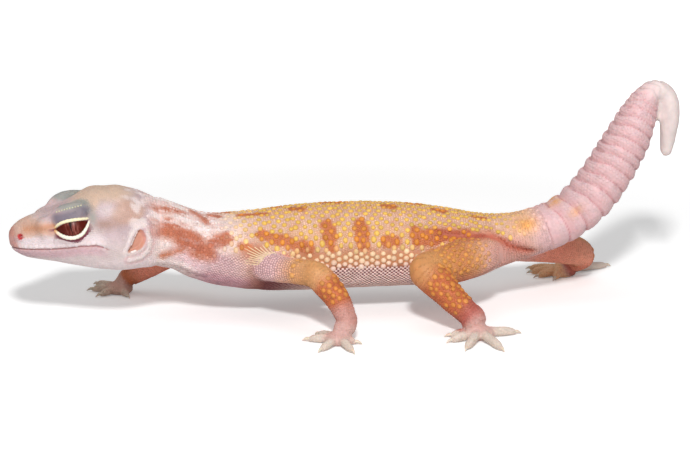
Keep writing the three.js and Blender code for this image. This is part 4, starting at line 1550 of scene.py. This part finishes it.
# %% Claws
def claw_shell(leg, index, rings=14, sides=12):
    """A claw as a tube along its table, in line with its toe."""
    _, heading, length = toe_chain(leg, index)
    end = TOE[-1, 0] * length
    place = np.array(LEGS[leg]["palm"]) + (end + CLAW[:, :1]) * heading
    return tube_shell(np.column_stack([place, CLAW[:, 2], CLAW[:, 1]]), rings, sides)


HORN_DARK, HORN_PALE = (0.62, 0.48, 0.36, 1), (0.83, 0.74, 0.62, 1)
horn, tree, shader = node_tree("Claw")
streaks = add(tree, "ShaderNodeTexNoise", {"Vector": place_on(tree), "Scale": 2500.0, "Detail": 2.0})
tone = mixed(tree, streaks.outputs["Fac"], HORN_DARK, HORN_PALE)
feed(tree, shader, {"Base Color": tone, "Roughness": 0.3, "Subsurface Weight": 0.2,
                    "Subsurface Scale": 0.0004})
for leg in LEGS:
    points, faces = joined([claw_shell(leg, index) for index in range(TOES)])
    finished(mesh_of(leg + "_claws", points, faces), points, np.tile((0.75, 0.65, 0.52), (len(points), 1)),
             horn, [f"{leg}_claw_{number + 1}" for number in range(TOES)])

# %% [markdown]
# ## Scales
#
# The gecko's back is a pavement of granules with rows of larger raised knobs among them; the belly has flat
# lozenges and the tail rings of flat plates. All are made the same way. A lattice of roots is laid out on the
# table of cross-sections, drawn on to the finished skin, and given the skin's outward direction there. One
# small closed shape is then repeated at every root by array arithmetic, turned to lie along the body and
# sized to its neighbours, and all of a family are joined in one mesh. Each scale owns a small patch of the
# OFBake map, laid where its root lies on an unwrap of the body.


# %% Roots
def snapped(points):
    """The nearest places on the skin and its outward direction there. One Shrinkwrap modifier lays the points
    on the skin, another a millimetre above it, and the direction runs from the one to the other."""
    target = in_scene("form", skin_form)
    results = []
    for mode, offset in (("ON_SURFACE", 0.0), ("ABOVE_SURFACE", 1.0)):
        roots = bpy.data.meshes.new("roots")
        roots.vertices.add(len(points))
        set_points(roots, points)
        results.append(points_of(through(roots, "SHRINKWRAP", target=target, wrap_mode=mode, offset=offset)))
    bpy.data.objects.remove(target)
    return results[0], unit(results[1] - results[0])


def round_places(s_values, spacing, stagger=0.5):
    """Places round the body at each s, as even in arc length as the spacing allows, every other row moved on
    by a share of the spacing."""
    all_s, all_degrees = [], []
    degrees = np.linspace(-90, 270, 181)
    rows = np.interp(s_values, LENGTHS, ROWS)
    outlines = on_body(*np.broadcast_arrays(rows[:, None], degrees[None]))
    for number, (s, outline) in enumerate(zip(s_values, outlines)):
        arc = path_length(outline)
        count = max(5, int(round(arc[-1] / spacing)))
        share = (np.arange(count) + stagger * (number % 2)) / count * arc[-1]
        all_s.append(np.full(count, s))
        all_degrees.append(np.interp(share, arc, degrees))
    return np.concatenate(all_s), np.concatenate(all_degrees)


def body_roots(s_low, s_high, step, spacing, jitter, seed):
    """Roots on trunk, head or tail: rows of round_places a step apart, shaken by a share of the spacing."""
    shake = np.random.default_rng(seed)
    s, degrees = round_places(np.arange(s_low, s_high, step), spacing)
    s = s + shake.normal(0, jitter * step, len(s))
    points = on_body(np.interp(s, LENGTHS, ROWS), degrees)
    return points + shake.normal(0, 1, points.shape) * jitter * spacing * 0.6


def limb_roots(start, end, step, spacing, jitter, first_seed):
    """Roots on the four limbs: rings along each chain, every other ring turned by half a spacing."""
    found = []
    for seed, leg in enumerate(LEGS, first_seed):
        shake = np.random.default_rng(seed)
        chain = limb_chain(leg)
        rows = np.linspace(start, end, 400)
        lengths = path_length(spline(chain, rows)[:, :3])
        along = np.arange(0, lengths[-1], step)
        line = spline(chain, np.interp(along, lengths, rows))
        sideways, upwards = square_to(unit(np.gradient(line[:, :3], axis=0)))
        counts = np.maximum(5, np.round(2 * np.pi * line[:, 3] / spacing).astype(int))
        ring = np.repeat(np.arange(len(along)), counts)
        number = np.arange(len(ring)) - np.repeat(np.cumsum(counts) - counts, counts)
        angle = 2 * np.pi * (number + 0.5 * (ring % 2)) / counts[ring]
        around = sideways[ring] * np.cos(angle)[:, None] + upwards[ring] * np.sin(angle)[:, None]
        points = line[ring, :3] + around * line[ring, 3:4]
        found.append(points + shake.normal(0, 1, points.shape) * jitter * spacing)
    return np.vstack(found)


# %% [markdown]
# ### Unwraps
#
# The map OFBake is drawn from the skin's own shape: the body unrolled along its spine, and the four limbs
# unrolled side by side.


# %% Unwraps
def body_unwrap(place):
    """The body unrolled: s from left to right, the angle round the spine from bottom to top."""
    edge, width = 0.01, 0.97
    across, upwards = place["s"] / LENGTHS[-1], (place["degrees"] + 180) / 360
    return edge + width * np.stack([across, upwards], 1)


def limb_unwrap(place):
    """The four limbs unrolled side by side: the place along the chain from left to right, the angle round it
    from bottom to top."""
    angle = np.zeros(len(place["at"]))
    for number, leg in enumerate(LEGS):
        own = place["leg"] == number
        line = spline(limb_chain(leg), place["at"][own])
        ahead = unit(spline(limb_chain(leg), place["at"][own] + 0.05)[:, :3] - line[:, :3] + 1e-6)
        sideways, upwards = square_to(ahead)
        off = place["root"][own] - line[:, :3]
        angle[own] = np.arctan2((off * upwards).sum(1), (off * sideways).sum(1))
    return np.stack([(place["leg"] + 0.03 + 0.94 * place["at"] / 7) / 4, 0.5 + 0.48 * angle / np.pi], 1)


def limb_heading(place):
    """The direction along the limb towards the foot."""
    heading = np.zeros((len(place["at"]), 3))
    for number, leg in enumerate(LEGS):
        own = place["leg"] == number
        behind, beyond = (spline(limb_chain(leg), place["at"][own] + step)[:, :3] for step in (-0.1, 0.1))
        heading[own] = beyond - behind
    return unit(heading)


# %% [markdown]
# ### Families
#
# A family is a dictionary of arrays with one entry for each scale: its root, the outward direction, the
# direction it lies along, its place in the unwrap, and all that `survey` knows about the root.


# %% Families of roots
def chosen(values, keep):
    """A family cut down to the kept roots."""
    return {name: value[keep] for name, value in values.items()}


def family(points, keep_rule, limbs=False, reach=1.2):
    """Snaps roots to the skin, surveys them and keeps those the rule allows."""
    roots, outwards = snapped(points)
    place = survey(roots) | {"out": outwards}
    place = chosen(place, keep_rule(place) & (np.linalg.norm(roots - points, axis=1) < reach))
    place["unwrap"] = limb_unwrap(place) if limbs else body_unwrap(place)
    place["heading"] = limb_heading(place) if limbs else along_spine(AHEAD, place["rows"])
    return place


def clear_of(points, others, distance):
    """True for the points that lie at least so far from all the others."""
    free = np.ones(len(points), bool)
    batch = 1500
    for start in range(0, len(points), batch):
        part = points[start:start + batch]
        apart = ((part[:, None, :] - others[None]) ** 2).sum(2)
        free[start:start + batch] = np.all(apart > distance[None] ** 2, axis=1)
    return free


def own_tone(place, spread, seed):
    """A slightly different brightness, or size, for each scale of a family."""
    return np.random.default_rng(seed).normal(1, spread, (len(place["s"]), 1))


# %% [markdown]
# ### One family in one mesh
#
# Closed shapes are given as rings of (reach, height): a granule is a low dome, a knob a taller one, a plate
# almost flat. With only a few dozen faces each, a hundred thousand triangles hold thousands of scales.

# %% One family of scales in one mesh
GRANULE = [(1.0, -0.5), (0.82, 0.55)]
KNOB = [(1.0, -0.35), (0.92, 0.35), (0.52, 0.88)]
PLATE = [(1.0, -0.7), (0.86, 0.75)]
PATCH = 0.003  # how much of the OFBake map a scale's patch is across


def template(rings, sides, lean=0.0):
    """A closed scale of unit size: rings round +Z, an apex and a flat floor, leaning towards +X (the tail) as
    it rises. Returns its points and triangles."""
    angle = (np.arange(sides) + 0.5) * 2 * np.pi / sides
    layers = [np.column_stack([reach * np.cos(angle) + lean * max(height, 0), reach * np.sin(angle),
                               np.full(sides, height)]) for reach, height in rings]
    points = np.vstack(layers + [[(lean, 0, 1.0)]])
    j = np.arange(sides)
    k = (j + 1) % sides
    faces = [np.stack([np.zeros(sides - 2, int), j[2:], j[1:-1]], 1)]
    for level in range(len(rings) - 1):
        low, high = level * sides, (level + 1) * sides
        faces += [np.stack([low + j, low + k, high + k], 1), np.stack([low + j, high + k, high + j], 1)]
    top = (len(rings) - 1) * sides
    faces.append(np.stack([top + j, top + k, np.full(sides, len(points) - 1)], 1))
    return points, np.vstack(faces)


def add_patches(mesh, faces, patches):
    """Gives the mesh its OFBake map, from one place in the map for each of its points."""
    layer = mesh.uv_layers.new(name="OFBake")
    layer.data.foreach_set("uv", patches[faces.ravel()].astype(np.float32).ravel())


def scales(name, shape, sides, place, size, colours, lean=0.1, foot=0.55):
    """Repeats the template at every root of a family: root + heading · x · length/2 + sideways · y · width/2
    + outwards · z · height, size being (length, width, height). Each scale has painted shade towards its
      foot."""
    form, faces = template(shape, sides, lean)
    roots, outwards, along = place["root"], place["out"], place["heading"]
    heading = unit(along - outwards * (along * outwards).sum(1, keepdims=True))
    sideways = np.cross(outwards, heading)
    scale = np.stack([np.broadcast_to(value, len(roots)) for value in size], 1) * (0.5, 0.5, 1.0)
    local = form[None] * scale[:, None]
    points = (roots[:, None] + local[..., :1] * heading[:, None] + local[..., 1:2] * sideways[:, None]
              + local[..., 2:] * outwards[:, None]).reshape(-1, 3)
    # painted shade where each scale meets the skin: towards its foot it darkens to about foot times its
    # colour, red least
    depth = np.interp(form[:, 2], [-0.3, 0.8], [1.0, 0.0])[None, :, None]
    shade = (1 - depth * (1 - np.reshape(foot, (-1, 1, 1)))) ** np.array([0.7, 1.0, 1.25])
    painted = np.clip(colours[:, None] * shade, 0, 0.97).reshape(-1, 3)
    offsets = (np.arange(len(roots)) * len(form))[:, None, None]
    all_faces = (faces[None] + offsets).reshape(-1, 3)
    mesh = mesh_of(name, points, all_faces)
    add_patches(mesh, all_faces, (place["unwrap"][:, None] + form[None, :, :2] * PATCH / 2).reshape(-1, 2))
    finished(mesh, points, painted, SCALE_MATERIAL)


# %% [markdown]
# ### Knobs of the neck, back and flanks
#
# Raised knobs stand in rows among the granules. They grow from small pale ones on the neck to full yellow
# ones on the back, and take the blotches' brown where they stand on one.

# %% Knobs of the neck, back and flanks
TRUNK_START, TRUNK_END = 31, 131  # s from the back of the head to the tail's first rings


def on_trunk(place):
    """Roots that belong to the trunk and not to a limb."""
    return (place["limb"] < 0.5) & (place["s"] > TRUNK_START) & (place["s"] < TRUNK_END)


def limit(place):
    """How far down the flank the granules reach, in degrees of rise."""
    return np.interp(place["s"], [TRUNK_START, 40, 52, 104, 114, TRUNK_END], [-95, -60, 6, 8, -40, -95])


def in_fan(place):
    """Where the pleats of the shoulder leave no room for granules."""
    behind = place["s"] + FAN_SHIFT * ~place["left"]
    return (np.abs(behind - 57.6) < 2.9) & (place["rise"] > 0) & (place["rise"] < 22)


def knob_rule(place):
    """Knobs of the back keep off the belly, the pleats and the hips' sides."""
    high = place["rise"] > np.maximum(limit(place) + 2, -30)
    return on_trunk(place) & high & ((place["rise"] > 14) | (place["s"] < 110)) & ~in_fan(place)


knobs = family(body_roots(32.0, TRUNK_END, 1.22, 3.0, 0.06, 3), knob_rule)
s, rise = knobs["s"], knobs["rise"]
blotched = blotch_mask(knobs["root"], s, rise, knobs["left"])
bright = tint(ground("yellow", s), ("blotch knob", 0.95 * blotched), ("flank", 0.7 * fall(6, 20, rise)))
pale = np.clip(paint(knobs) * 1.05 + 0.015, 0, PALEST)
bright = bright + (pale - bright) * np.maximum(fall(46, 60, s), smooth(118, 128, s))[:, None]
bright = bright * own_tone(knobs, 0.08, 5)
grown = smooth(31, 62, s) * (1 - 0.4 * smooth(112, 128, s))
knob_size = (0.7 + 0.58 * grown) * own_tone(knobs, 0.08, 6)[:, 0]
size = (knob_size, knob_size * (1 + 0.35 * bell(rise, 18, 12)), 0.12 + 0.2 * grown)
scales("back_knobs", KNOB, 8, knobs, size, bright, 0.18, 0.6)


# %% [markdown]
# ### Granules
#
# Small granules fill all the room between the knobs. On the back they are shorter than their rows are far
# apart, so that the skin between the rows, painted darker as shade, shows as fine lines.


# %% Granules
def granule_rule(place):
    """Granules cover the trunk down to a ragged limit, but not the pleats."""
    ragged = limit(place) + 4 * noise(place["root"], 1.5, 61)
    return on_trunk(place) & (place["rise"] > ragged) & ~in_fan(place)


def scales_by_side(name, place, sizes, colours, lean, foot):
    """One piece of granules for each side of the animal, so that neither grows too big."""
    for side, own in (("left", place["left"]), ("right", ~place["left"])):
        size = [np.broadcast_to(value, len(own))[own] for value in sizes]
        scales(name + side, GRANULE, 6, chosen(place, own), size, colours[own], lean, foot[own])


grains = family(body_roots(31.5, TRUNK_END, 0.60, 0.58, 0.08, 7), granule_rule)
grains = chosen(grains, clear_of(grains["root"], knobs["root"], knob_size * 0.5 + 0.12))
colour = paint(grains) * own_tone(grains, 0.08, 8)
over_back = smooth(46, 60, grains["s"])
size = (0.56 - 0.07 * over_back, 0.60, 0.09 + 0.1 * over_back)
scales_by_side("granules_", grains, size, colour, 0.1, 0.85 - 0.4 * over_back)


# %% [markdown]
# ### Lower flank and belly
#
# The flank's round scales stand apart, with the skin between them painted dark as shade. The belly's are
# flat lozenges in a close lattice, small on the throat and chest, and larger behind the arms.


# %% Round scales of the lower flank
def flank_rule(place):
    """Round scales lie between the belly's lattice and the granules."""
    return on_trunk(place) & (place["rise"] > -15) & (place["rise"] < limit(place) + 1)


rounds = family(body_roots(61.8, 112.0, 1.45, 1.62, 0.05, 9), flank_rule)
colour = ground("flank", rounds["s"]) * own_tone(rounds, 0.10, 10)
colour = tint(colour, ("belly", 0.7 * fall(-14, 2, rounds["rise"])))
size = 1.4 * own_tone(rounds, 0.08, 19)[:, 0]
scales("flank_scales", KNOB, 8, rounds, (size, size, 0.3), colour, 0.15, 0.35)

# %% The belly's lattice
CHEST_END = 61.8  # s behind which the lozenges are larger


def belly_rule(place):
    """The lattice reaches up to the granules on the chest, and to the round scales behind it."""
    top = np.where(place["s"] < CHEST_END, limit(place), np.minimum(limit(place), -13))
    return on_trunk(place) & (place["rise"] < top)


lattice = [body_roots(36.0, 61.6, 0.39, 0.78, 0.03, 11), body_roots(62.0, 122.0, 0.54, 1.08, 0.03, 12)]
lozenges = family(np.vstack(lattice), belly_rule)
colour = tint(paint(lozenges), ("belly", smooth(60, 74, lozenges["s"]) * 0.95))
colour = colour * own_tone(lozenges, 0.07, 12)
size = np.where(lozenges["s"] < CHEST_END, 0.65, 0.84)
scales("belly_scales", PLATE, 4, lozenges, (size, size, 0.16 * size), colour, 0.2, 0.25)

# %% [markdown]
# ### Rings of the tail
#
# Flat plates stand in rows on each ring and leave its joints bare, as the skin there has to bend.

# %% Rings of the tail
plates = family(body_roots(129.0, 172.0, 0.98, 1.02, 0.03, 13),
                lambda place: (place["s"] > 129.5) & (place["limb"] < 0.5))
_, through_ring = ring_phase(plates["s"], plates["rise"])
plates = chosen(plates, (through_ring > 0.16) & (through_ring < 0.88))
colour = paint(plates) * own_tone(plates, 0.02, 14)
scales("tail_scales", PLATE, 6, plates, (0.95, 1.0, 0.035), colour, 0.1, 0.93)

# %% [markdown]
# ### Pleats over the shoulders
#
# Above each arm the loose skin gathers in pleats that fan out from one point, each a thin tube half sunk in
# the skin.

# %% Pleats over the shoulders
# s and rise of the point the pleats leave, and of the arc they reach.
FAN_FROM = np.array([62.8, 1.0])
FAN_TO = np.array([(54.6, -6), (53.8, 4), (54.2, 13), (55.2, 21), (57.0, 27), (59.6, 29)])
PLEATS, PLEAT_SIDES = 11, 8


def pleat(share, on_left):
    """One pleat at a share of the arc, as a bent tube: its middle line sags a little between its two ends."""
    end = spline(FAN_TO, np.array([share * (len(FAN_TO) - 1)]))[0]
    t = np.linspace(0.2 + 0.2 * np.sin(share * 41) ** 2, 1 - 0.25 * np.sin(share * 57) ** 2, 7)
    s, rise = FAN_FROM[:, None] + (end - FAN_FROM)[:, None] * t
    rise = rise - 3 * np.sin(np.pi * t)
    degrees = np.where(on_left, 180 - rise, rise)
    line, _ = snapped(on_body(np.interp(s - (0 if on_left else FAN_SHIFT), LENGTHS, ROWS), degrees))
    radius = 0.12 * np.sin(np.pi * (0.12 + 0.8 * t)) + 0.03
    return tube_shell(np.column_stack([line, radius]), 26, PLEAT_SIDES)


pleats = [pleat(share, on_left) for on_left in (True, False) for share in np.linspace(0, 1, PLEATS)]
points, faces = joined(pleats)
size = len(pleats[0][0])
cream = ground("fold", points) * (1 + 0.12 * noise(points, 0.8, 62))[:, None]
middles = np.repeat(body_unwrap(survey(points[size // 2::size])), size, axis=0)
number = np.tile(np.arange(size), len(pleats))
along, around = number // PLEAT_SIDES / (size / PLEAT_SIDES), number % PLEAT_SIDES / PLEAT_SIDES
pleat_mesh = mesh_of("shoulder_pleats", points, faces)
add_patches(pleat_mesh, faces, middles + (np.stack([along, around], 1) - 0.5) * PATCH)
finished(pleat_mesh, points, cream, SKIN_MATERIAL)


# %% [markdown]
# ### Lips, brows and the rims of the ears
#
# A few scales of the face are placed one by one: a row along each lip, a row of beads over each eye, and the
# fringe of small scales in front of each ear.


# %% Lips, brows and the rims of the ears
def face_points(x, z, side):
    """Places on the side of the head at a given x and z: the best of many angles round the section at x."""
    head_rows = 12
    rows = np.interp(x, BODY[:head_rows, 0], np.arange(head_rows))
    degrees = np.linspace(100, 260, 161) if side < 0 else np.linspace(80, -80, 161)
    ring = on_body(*np.broadcast_arrays(rows[:, None], degrees[None]))
    best = np.argmin(np.abs(ring[:, :, 2] - z[:, None]), axis=1)
    return ring[np.arange(len(x)), best]


LIP_SCALE, BEAD, FRINGE = (1.2, 1.1, 0.035), (0.5, 0.5, 0.14), (0.95, 0.62, 0.22)  # length, width, height
FROM_MOUTH = 0.85  # of the lips' scales, above and below its line
lip_x = np.arange(-79.3, -59.0, 1.25)
lip_z = np.interp(lip_x, *MOUTH.T)
bead = np.linspace(-0.62, 0.85, 10)
beads = on_eyeball(bead, 0.78 - 0.10 * bead**2, np.full(len(bead), EYE_RADIUS + 1.2))
edge = np.linspace(0, len(EAR) - 1, 8)
front_edge = EAR[:, 0] - EAR_WIDTH - 0.1
ear_x, ear_z = (np.interp(edge, np.arange(len(EAR)), line) for line in (front_edge, EAR[:, 1]))
special, special_size = [], []
for side in (-1, 1):
    special += [face_points(lip_x, lip_z + FROM_MOUTH, side), face_points(lip_x, lip_z - FROM_MOUTH, side),
                to_right(beads) if side > 0 else beads, face_points(ear_x, ear_z, side)]
    special_size += [LIP_SCALE] * 2 * len(lip_x) + [BEAD] * len(bead) + [FRINGE] * len(edge)
special_size = np.array(special_size)
features = family(np.vstack(special), lambda place: place["s"] >= 0, reach=np.inf)
colour = np.clip(paint(features) * 1.05, 0, PALEST)
colour[special_size[:, 0] == BEAD[0]] = COLOURS["brow bead"]
colour[special_size[:, 0] == FRINGE[0]] = COLOURS["ear fringe"]
scales("lip_brow_and_ear_scales", KNOB, 8, features, special_size.T, colour, 0.1, 0.8)


# %% [markdown]
# ### Fine scales of the head
#
# Fine flat granules cover the rest of the head, apart from the eyes' openings, the nostrils, the ears and
# the line of the mouth.


# %% Fine scales of the head
def on_face(place):
    """True for roots on the head that lie off its openings and its mouth."""
    left = folded(place["root"])
    along, up, far = eye_place(left)
    clear = ~((in_opening(along, up) > -1.25) & (far < EYE_RADIUS + 2.5) & (left[:, 1] < -6))
    clear &= ~((left[:, 0] < MOUTH_CORNER) & (np.abs(from_mouth(left)) < 0.22))
    clear &= np.linalg.norm(left - NOSTRIL, axis=1) > 0.85
    return clear & (from_ear(left, EAR, EAR_WIDTH, 4) > 0.1) & (place["s"] < 32)


fine = family(body_roots(0.5, 32.0, 0.52, 0.54, 0.2, 15), on_face, reach=3.0)
fine = chosen(fine, clear_of(fine["root"], features["root"], special_size[:, 0] * 0.5 + 0.08))
colour = paint(fine) * own_tone(fine, 0.015, 16)
size = 0.56 + 0.05 * own_tone(fine, 0.5, 17)[:, 0]
scales_by_side("face_scales_", fine, (size, size, 0.032), colour, 0.1, np.full(len(size), 0.96))


# %% [markdown]
# ### Limbs
#
# Larger knobs stand on the outer side of the forearms, thighs and shins, with fine granules between them that
# grow flatter at the joints and towards the feet.


# %% Knobs of the limbs
def on_limb(place):
    """Roots that belong to a limb, above the floor."""
    return (place["limb"] >= 0.5) & (place["root"][:, 2] > 1.0)


def limb_knob_rule(place):
    """Knobs grow on the outer side of a limb, not on the elbow, the knee or the upper arm."""
    hind, at = place["leg"] >= 2, place["at"]
    bare = bell(at, 3.0, 0.55) > 0.45
    upward = place["out"][:, 2] + 0.6 * np.abs(place["out"][:, 1]) > 0.15
    in_reach = (at > np.where(hind, 1.0, 2.2)) & (at < 4.8 + 0.6 * hind)
    return on_limb(place) & ~bare & in_reach & (place["inner"] < 0.35) & upward


limb_knobs = family(limb_roots(1.0, 5.6, 1.3, 2.15, 0.07, 30), limb_knob_rule, limbs=True)
colour = tint(paint(limb_knobs), ("limb knob", 0.5)) * own_tone(limb_knobs, 0.09, 41)
knob_size = 1.28 * own_tone(limb_knobs, 0.1, 42)[:, 0]
scales("limb_knobs", KNOB, 8, limb_knobs, (knob_size * 1.1, knob_size, 0.27), colour, 0.25)

# %% Granules of the limbs
grains = family(limb_roots(0.6, 6.0, 0.62, 0.66, 0.06, 20), on_limb, limbs=True)
grains = chosen(grains, clear_of(grains["root"], limb_knobs["root"], knob_size * 0.5 + 0.1))
at, hind = grains["at"], grains["leg"] >= 2
# the upper arm's lattice shows dark lines of painted shade between its scales
upper_arm = ~hind * fall(2.0, 2.8, at)  # a lattice with dark lines
colour = paint(grains) * own_tone(grains, 0.07, 43)
colour = np.clip(colour * (1 + 0.14 * upper_arm[:, None]), 0, PALEST)
flatter = 1 - 0.75 * np.maximum(bell(at, 3.0, 0.6), smooth(4.9, 5.6, at))
size = (0.62 - 0.06 * upper_arm, 0.60, 0.15 * flatter)
# the painted shade at the scales' feet is deeper on the upper arm and on the hind limbs
scales("limb_scales", GRANULE, 6, grains, size, colour, 0.1, 0.6 - 0.2 * upper_arm - 0.2 * hind)


# %% [markdown]
# ### Hands, feet and toes
#
# Feet bend too sharply for rings of roots, so theirs are picked from the skin's own points, one out of each
# cube of a fine lattice.


# %% Hands, feet and toes
def thinned(points, size):
    """One point out of each cube of a lattice of the given size."""
    _, first = np.unique(np.floor(points / size).astype(int), axis=0, return_index=True)
    return points[first]


def on_foot(place):
    """Hands and feet beyond the wrists and ankles, apart from the flat soles."""
    z = place["root"][:, 2]
    return (place["outside"] > 1.5) & (z > 0.35) & ((place["at"] > 5.95) | (z < 3.6))


low_points = placed[(skin_place["at"] > 5.9) & (placed[:, 2] < 7)]
toe_grains = family(thinned(low_points, 0.52), on_foot, limbs=True)
colour = paint(toe_grains) * own_tone(toe_grains, 0.05, 45)
scales("foot_scales", GRANULE, 5, toe_grains, (0.46, 0.44, 0.07), colour, 0.1, 0.75)
print("the coat is complete")

# %% [markdown]
# ## Stage, light and camera
#
# The stage isn't part of the object. The floor turns white with distance for the camera alone, so the model
# keeps the light it has and the shadow stays on the floor.

# %% Floor
FLOOR_SIZE = 6.0
FADE = 0.12, 0.34  # metres from the middle, from the floor's own grey to white
GREY, WHITE = (0.82, 0.80, 0.79, 1), (1.0, 1.0, 1.0, 1)
corners = np.array([(-1, -1, 0), (1, -1, 0), (1, 1, 0), (-1, 1, 0)]) * FLOOR_SIZE / 2
floor_mesh = mesh_of("floor", corners, np.array([(0, 1, 2, 3)]))
floor = in_scene("floor", floor_mesh)
floor_material, tree, shader = node_tree("Floor")
seen = add(tree, "ShaderNodeLightPath").outputs["Is Camera Ray"]
length = add(tree, "ShaderNodeVectorMath", {0: place_on(tree)}, operation="LENGTH").outputs["Value"]
fade = soft_range(tree, length, *FADE)
lift = add(tree, "ShaderNodeMapRange", {"Value": fade, "To Min": 0.185, "To Max": 1.0}).outputs["Result"]
feed(tree, shader, {"Base Color": mixed(tree, seen, GREY, WHITE), "Roughness": 0.9,
                    "Specular IOR Level": 0.0, "Emission Color": WHITE,
                    "Emission Strength": combined(tree, "MULTIPLY", lift, seen)})
floor_mesh.materials.append(floor_material)
floor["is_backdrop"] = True
print("floor of", FLOOR_SIZE, "m")

# %% [markdown]
# ### World
#
# The world is a soft even light from all sides. The camera sees it white, and everything else is lit by less.

# %% World
WORLD_LIGHT = 0.36
world = bpy.data.worlds.new("Studio")
bpy.context.scene.world = world
world.use_nodes = True
tree = world.node_tree
tree.nodes.clear()
seen = add(tree, "ShaderNodeLightPath").outputs["Is Camera Ray"]
strength = add(tree, "ShaderNodeMapRange", {"Value": seen, "To Min": WORLD_LIGHT, "To Max": 1.0})
background = add(tree, "ShaderNodeBackground", {"Color": WHITE, "Strength": strength.outputs["Result"]})
add(tree, "ShaderNodeOutputWorld", {"Surface": background.outputs["Background"]})
print("world light", WORLD_LIGHT)


# %% [markdown]
# ### Lamps
#
# A key lamp stands in front of the animal and a little towards its head, so the soft shadow falls behind. A
# wide weak lamp overhead softens the shadow under the belly.


# %% Lamps
def aimed(name, data, place, target):
    """Stands an object at a place with its -Z axis towards a target and its Y axis upwards."""
    back = unit(np.array(place, float) - np.array(target, float))
    right = unit(np.cross([0, 0, 1.0], back))
    matrix = np.eye(4)
    matrix[:3, :3] = np.column_stack([right, np.cross(back, right), back])
    matrix[:3, 3] = place
    thing = in_scene(name, data)
    thing.matrix_world = Matrix(matrix.tolist())
    return thing


MID_BODY = (0, 0, 0.015)
LAMPS = ("key", (-0.118, -0.792, 0.598), 0.09, 7.9), ("top", (-0.05, -0.10, 0.9), 0.5, 0.7)
for name, place, size, watts in LAMPS:
    lamp = bpy.data.lights.new(name, "AREA")
    lamp.size = size
    lamp.energy = watts
    aimed(name, lamp, place, MID_BODY)
    print(name, "lamp of", watts, "W")

# %% [markdown]
# ### Camera
#
# The camera looks at the left flank from a little above and a little towards the head. Its lens is worked
# out from its distance and the width to be seen.

# %% Camera
IMAGE_WIDTH = 690
SEEN_WIDTH = IMAGE_WIDTH * 0.00024  # metres across the view, at the target
SENSOR = 36
DISTANCE, AZIMUTH, ELEVATION = 0.7, np.radians(-9), np.radians(15)
target = (np.array([0, 0, 18.9]) + SHIFT) / 1000
level = np.cos(ELEVATION)
back = np.array([np.sin(AZIMUTH) * level, -np.cos(AZIMUTH) * level, np.sin(ELEVATION)])
camera = bpy.data.cameras.new("camera")
camera.sensor_width = SENSOR
camera.lens = DISTANCE / SEEN_WIDTH * SENSOR
camera.clip_start = 0.01
bpy.context.scene.camera = aimed("camera", camera, target + back * DISTANCE, target)
bpy.context.scene.view_settings.view_transform = "Standard"
print("lens of", round(camera.lens, 1), "mm")

# %% [markdown]
# ## Measure and finish
#
# Both boxes, the solids' and the model's, are printed. The model has to stay within the solids' box.

# %% Measure and finish
MODEL_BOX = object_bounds()
for name, box in (("solids", CAD_BOX), ("model", MODEL_BOX)):
    print(name, [[round(1000 * float(value), 2) for value in corner] for corner in box])
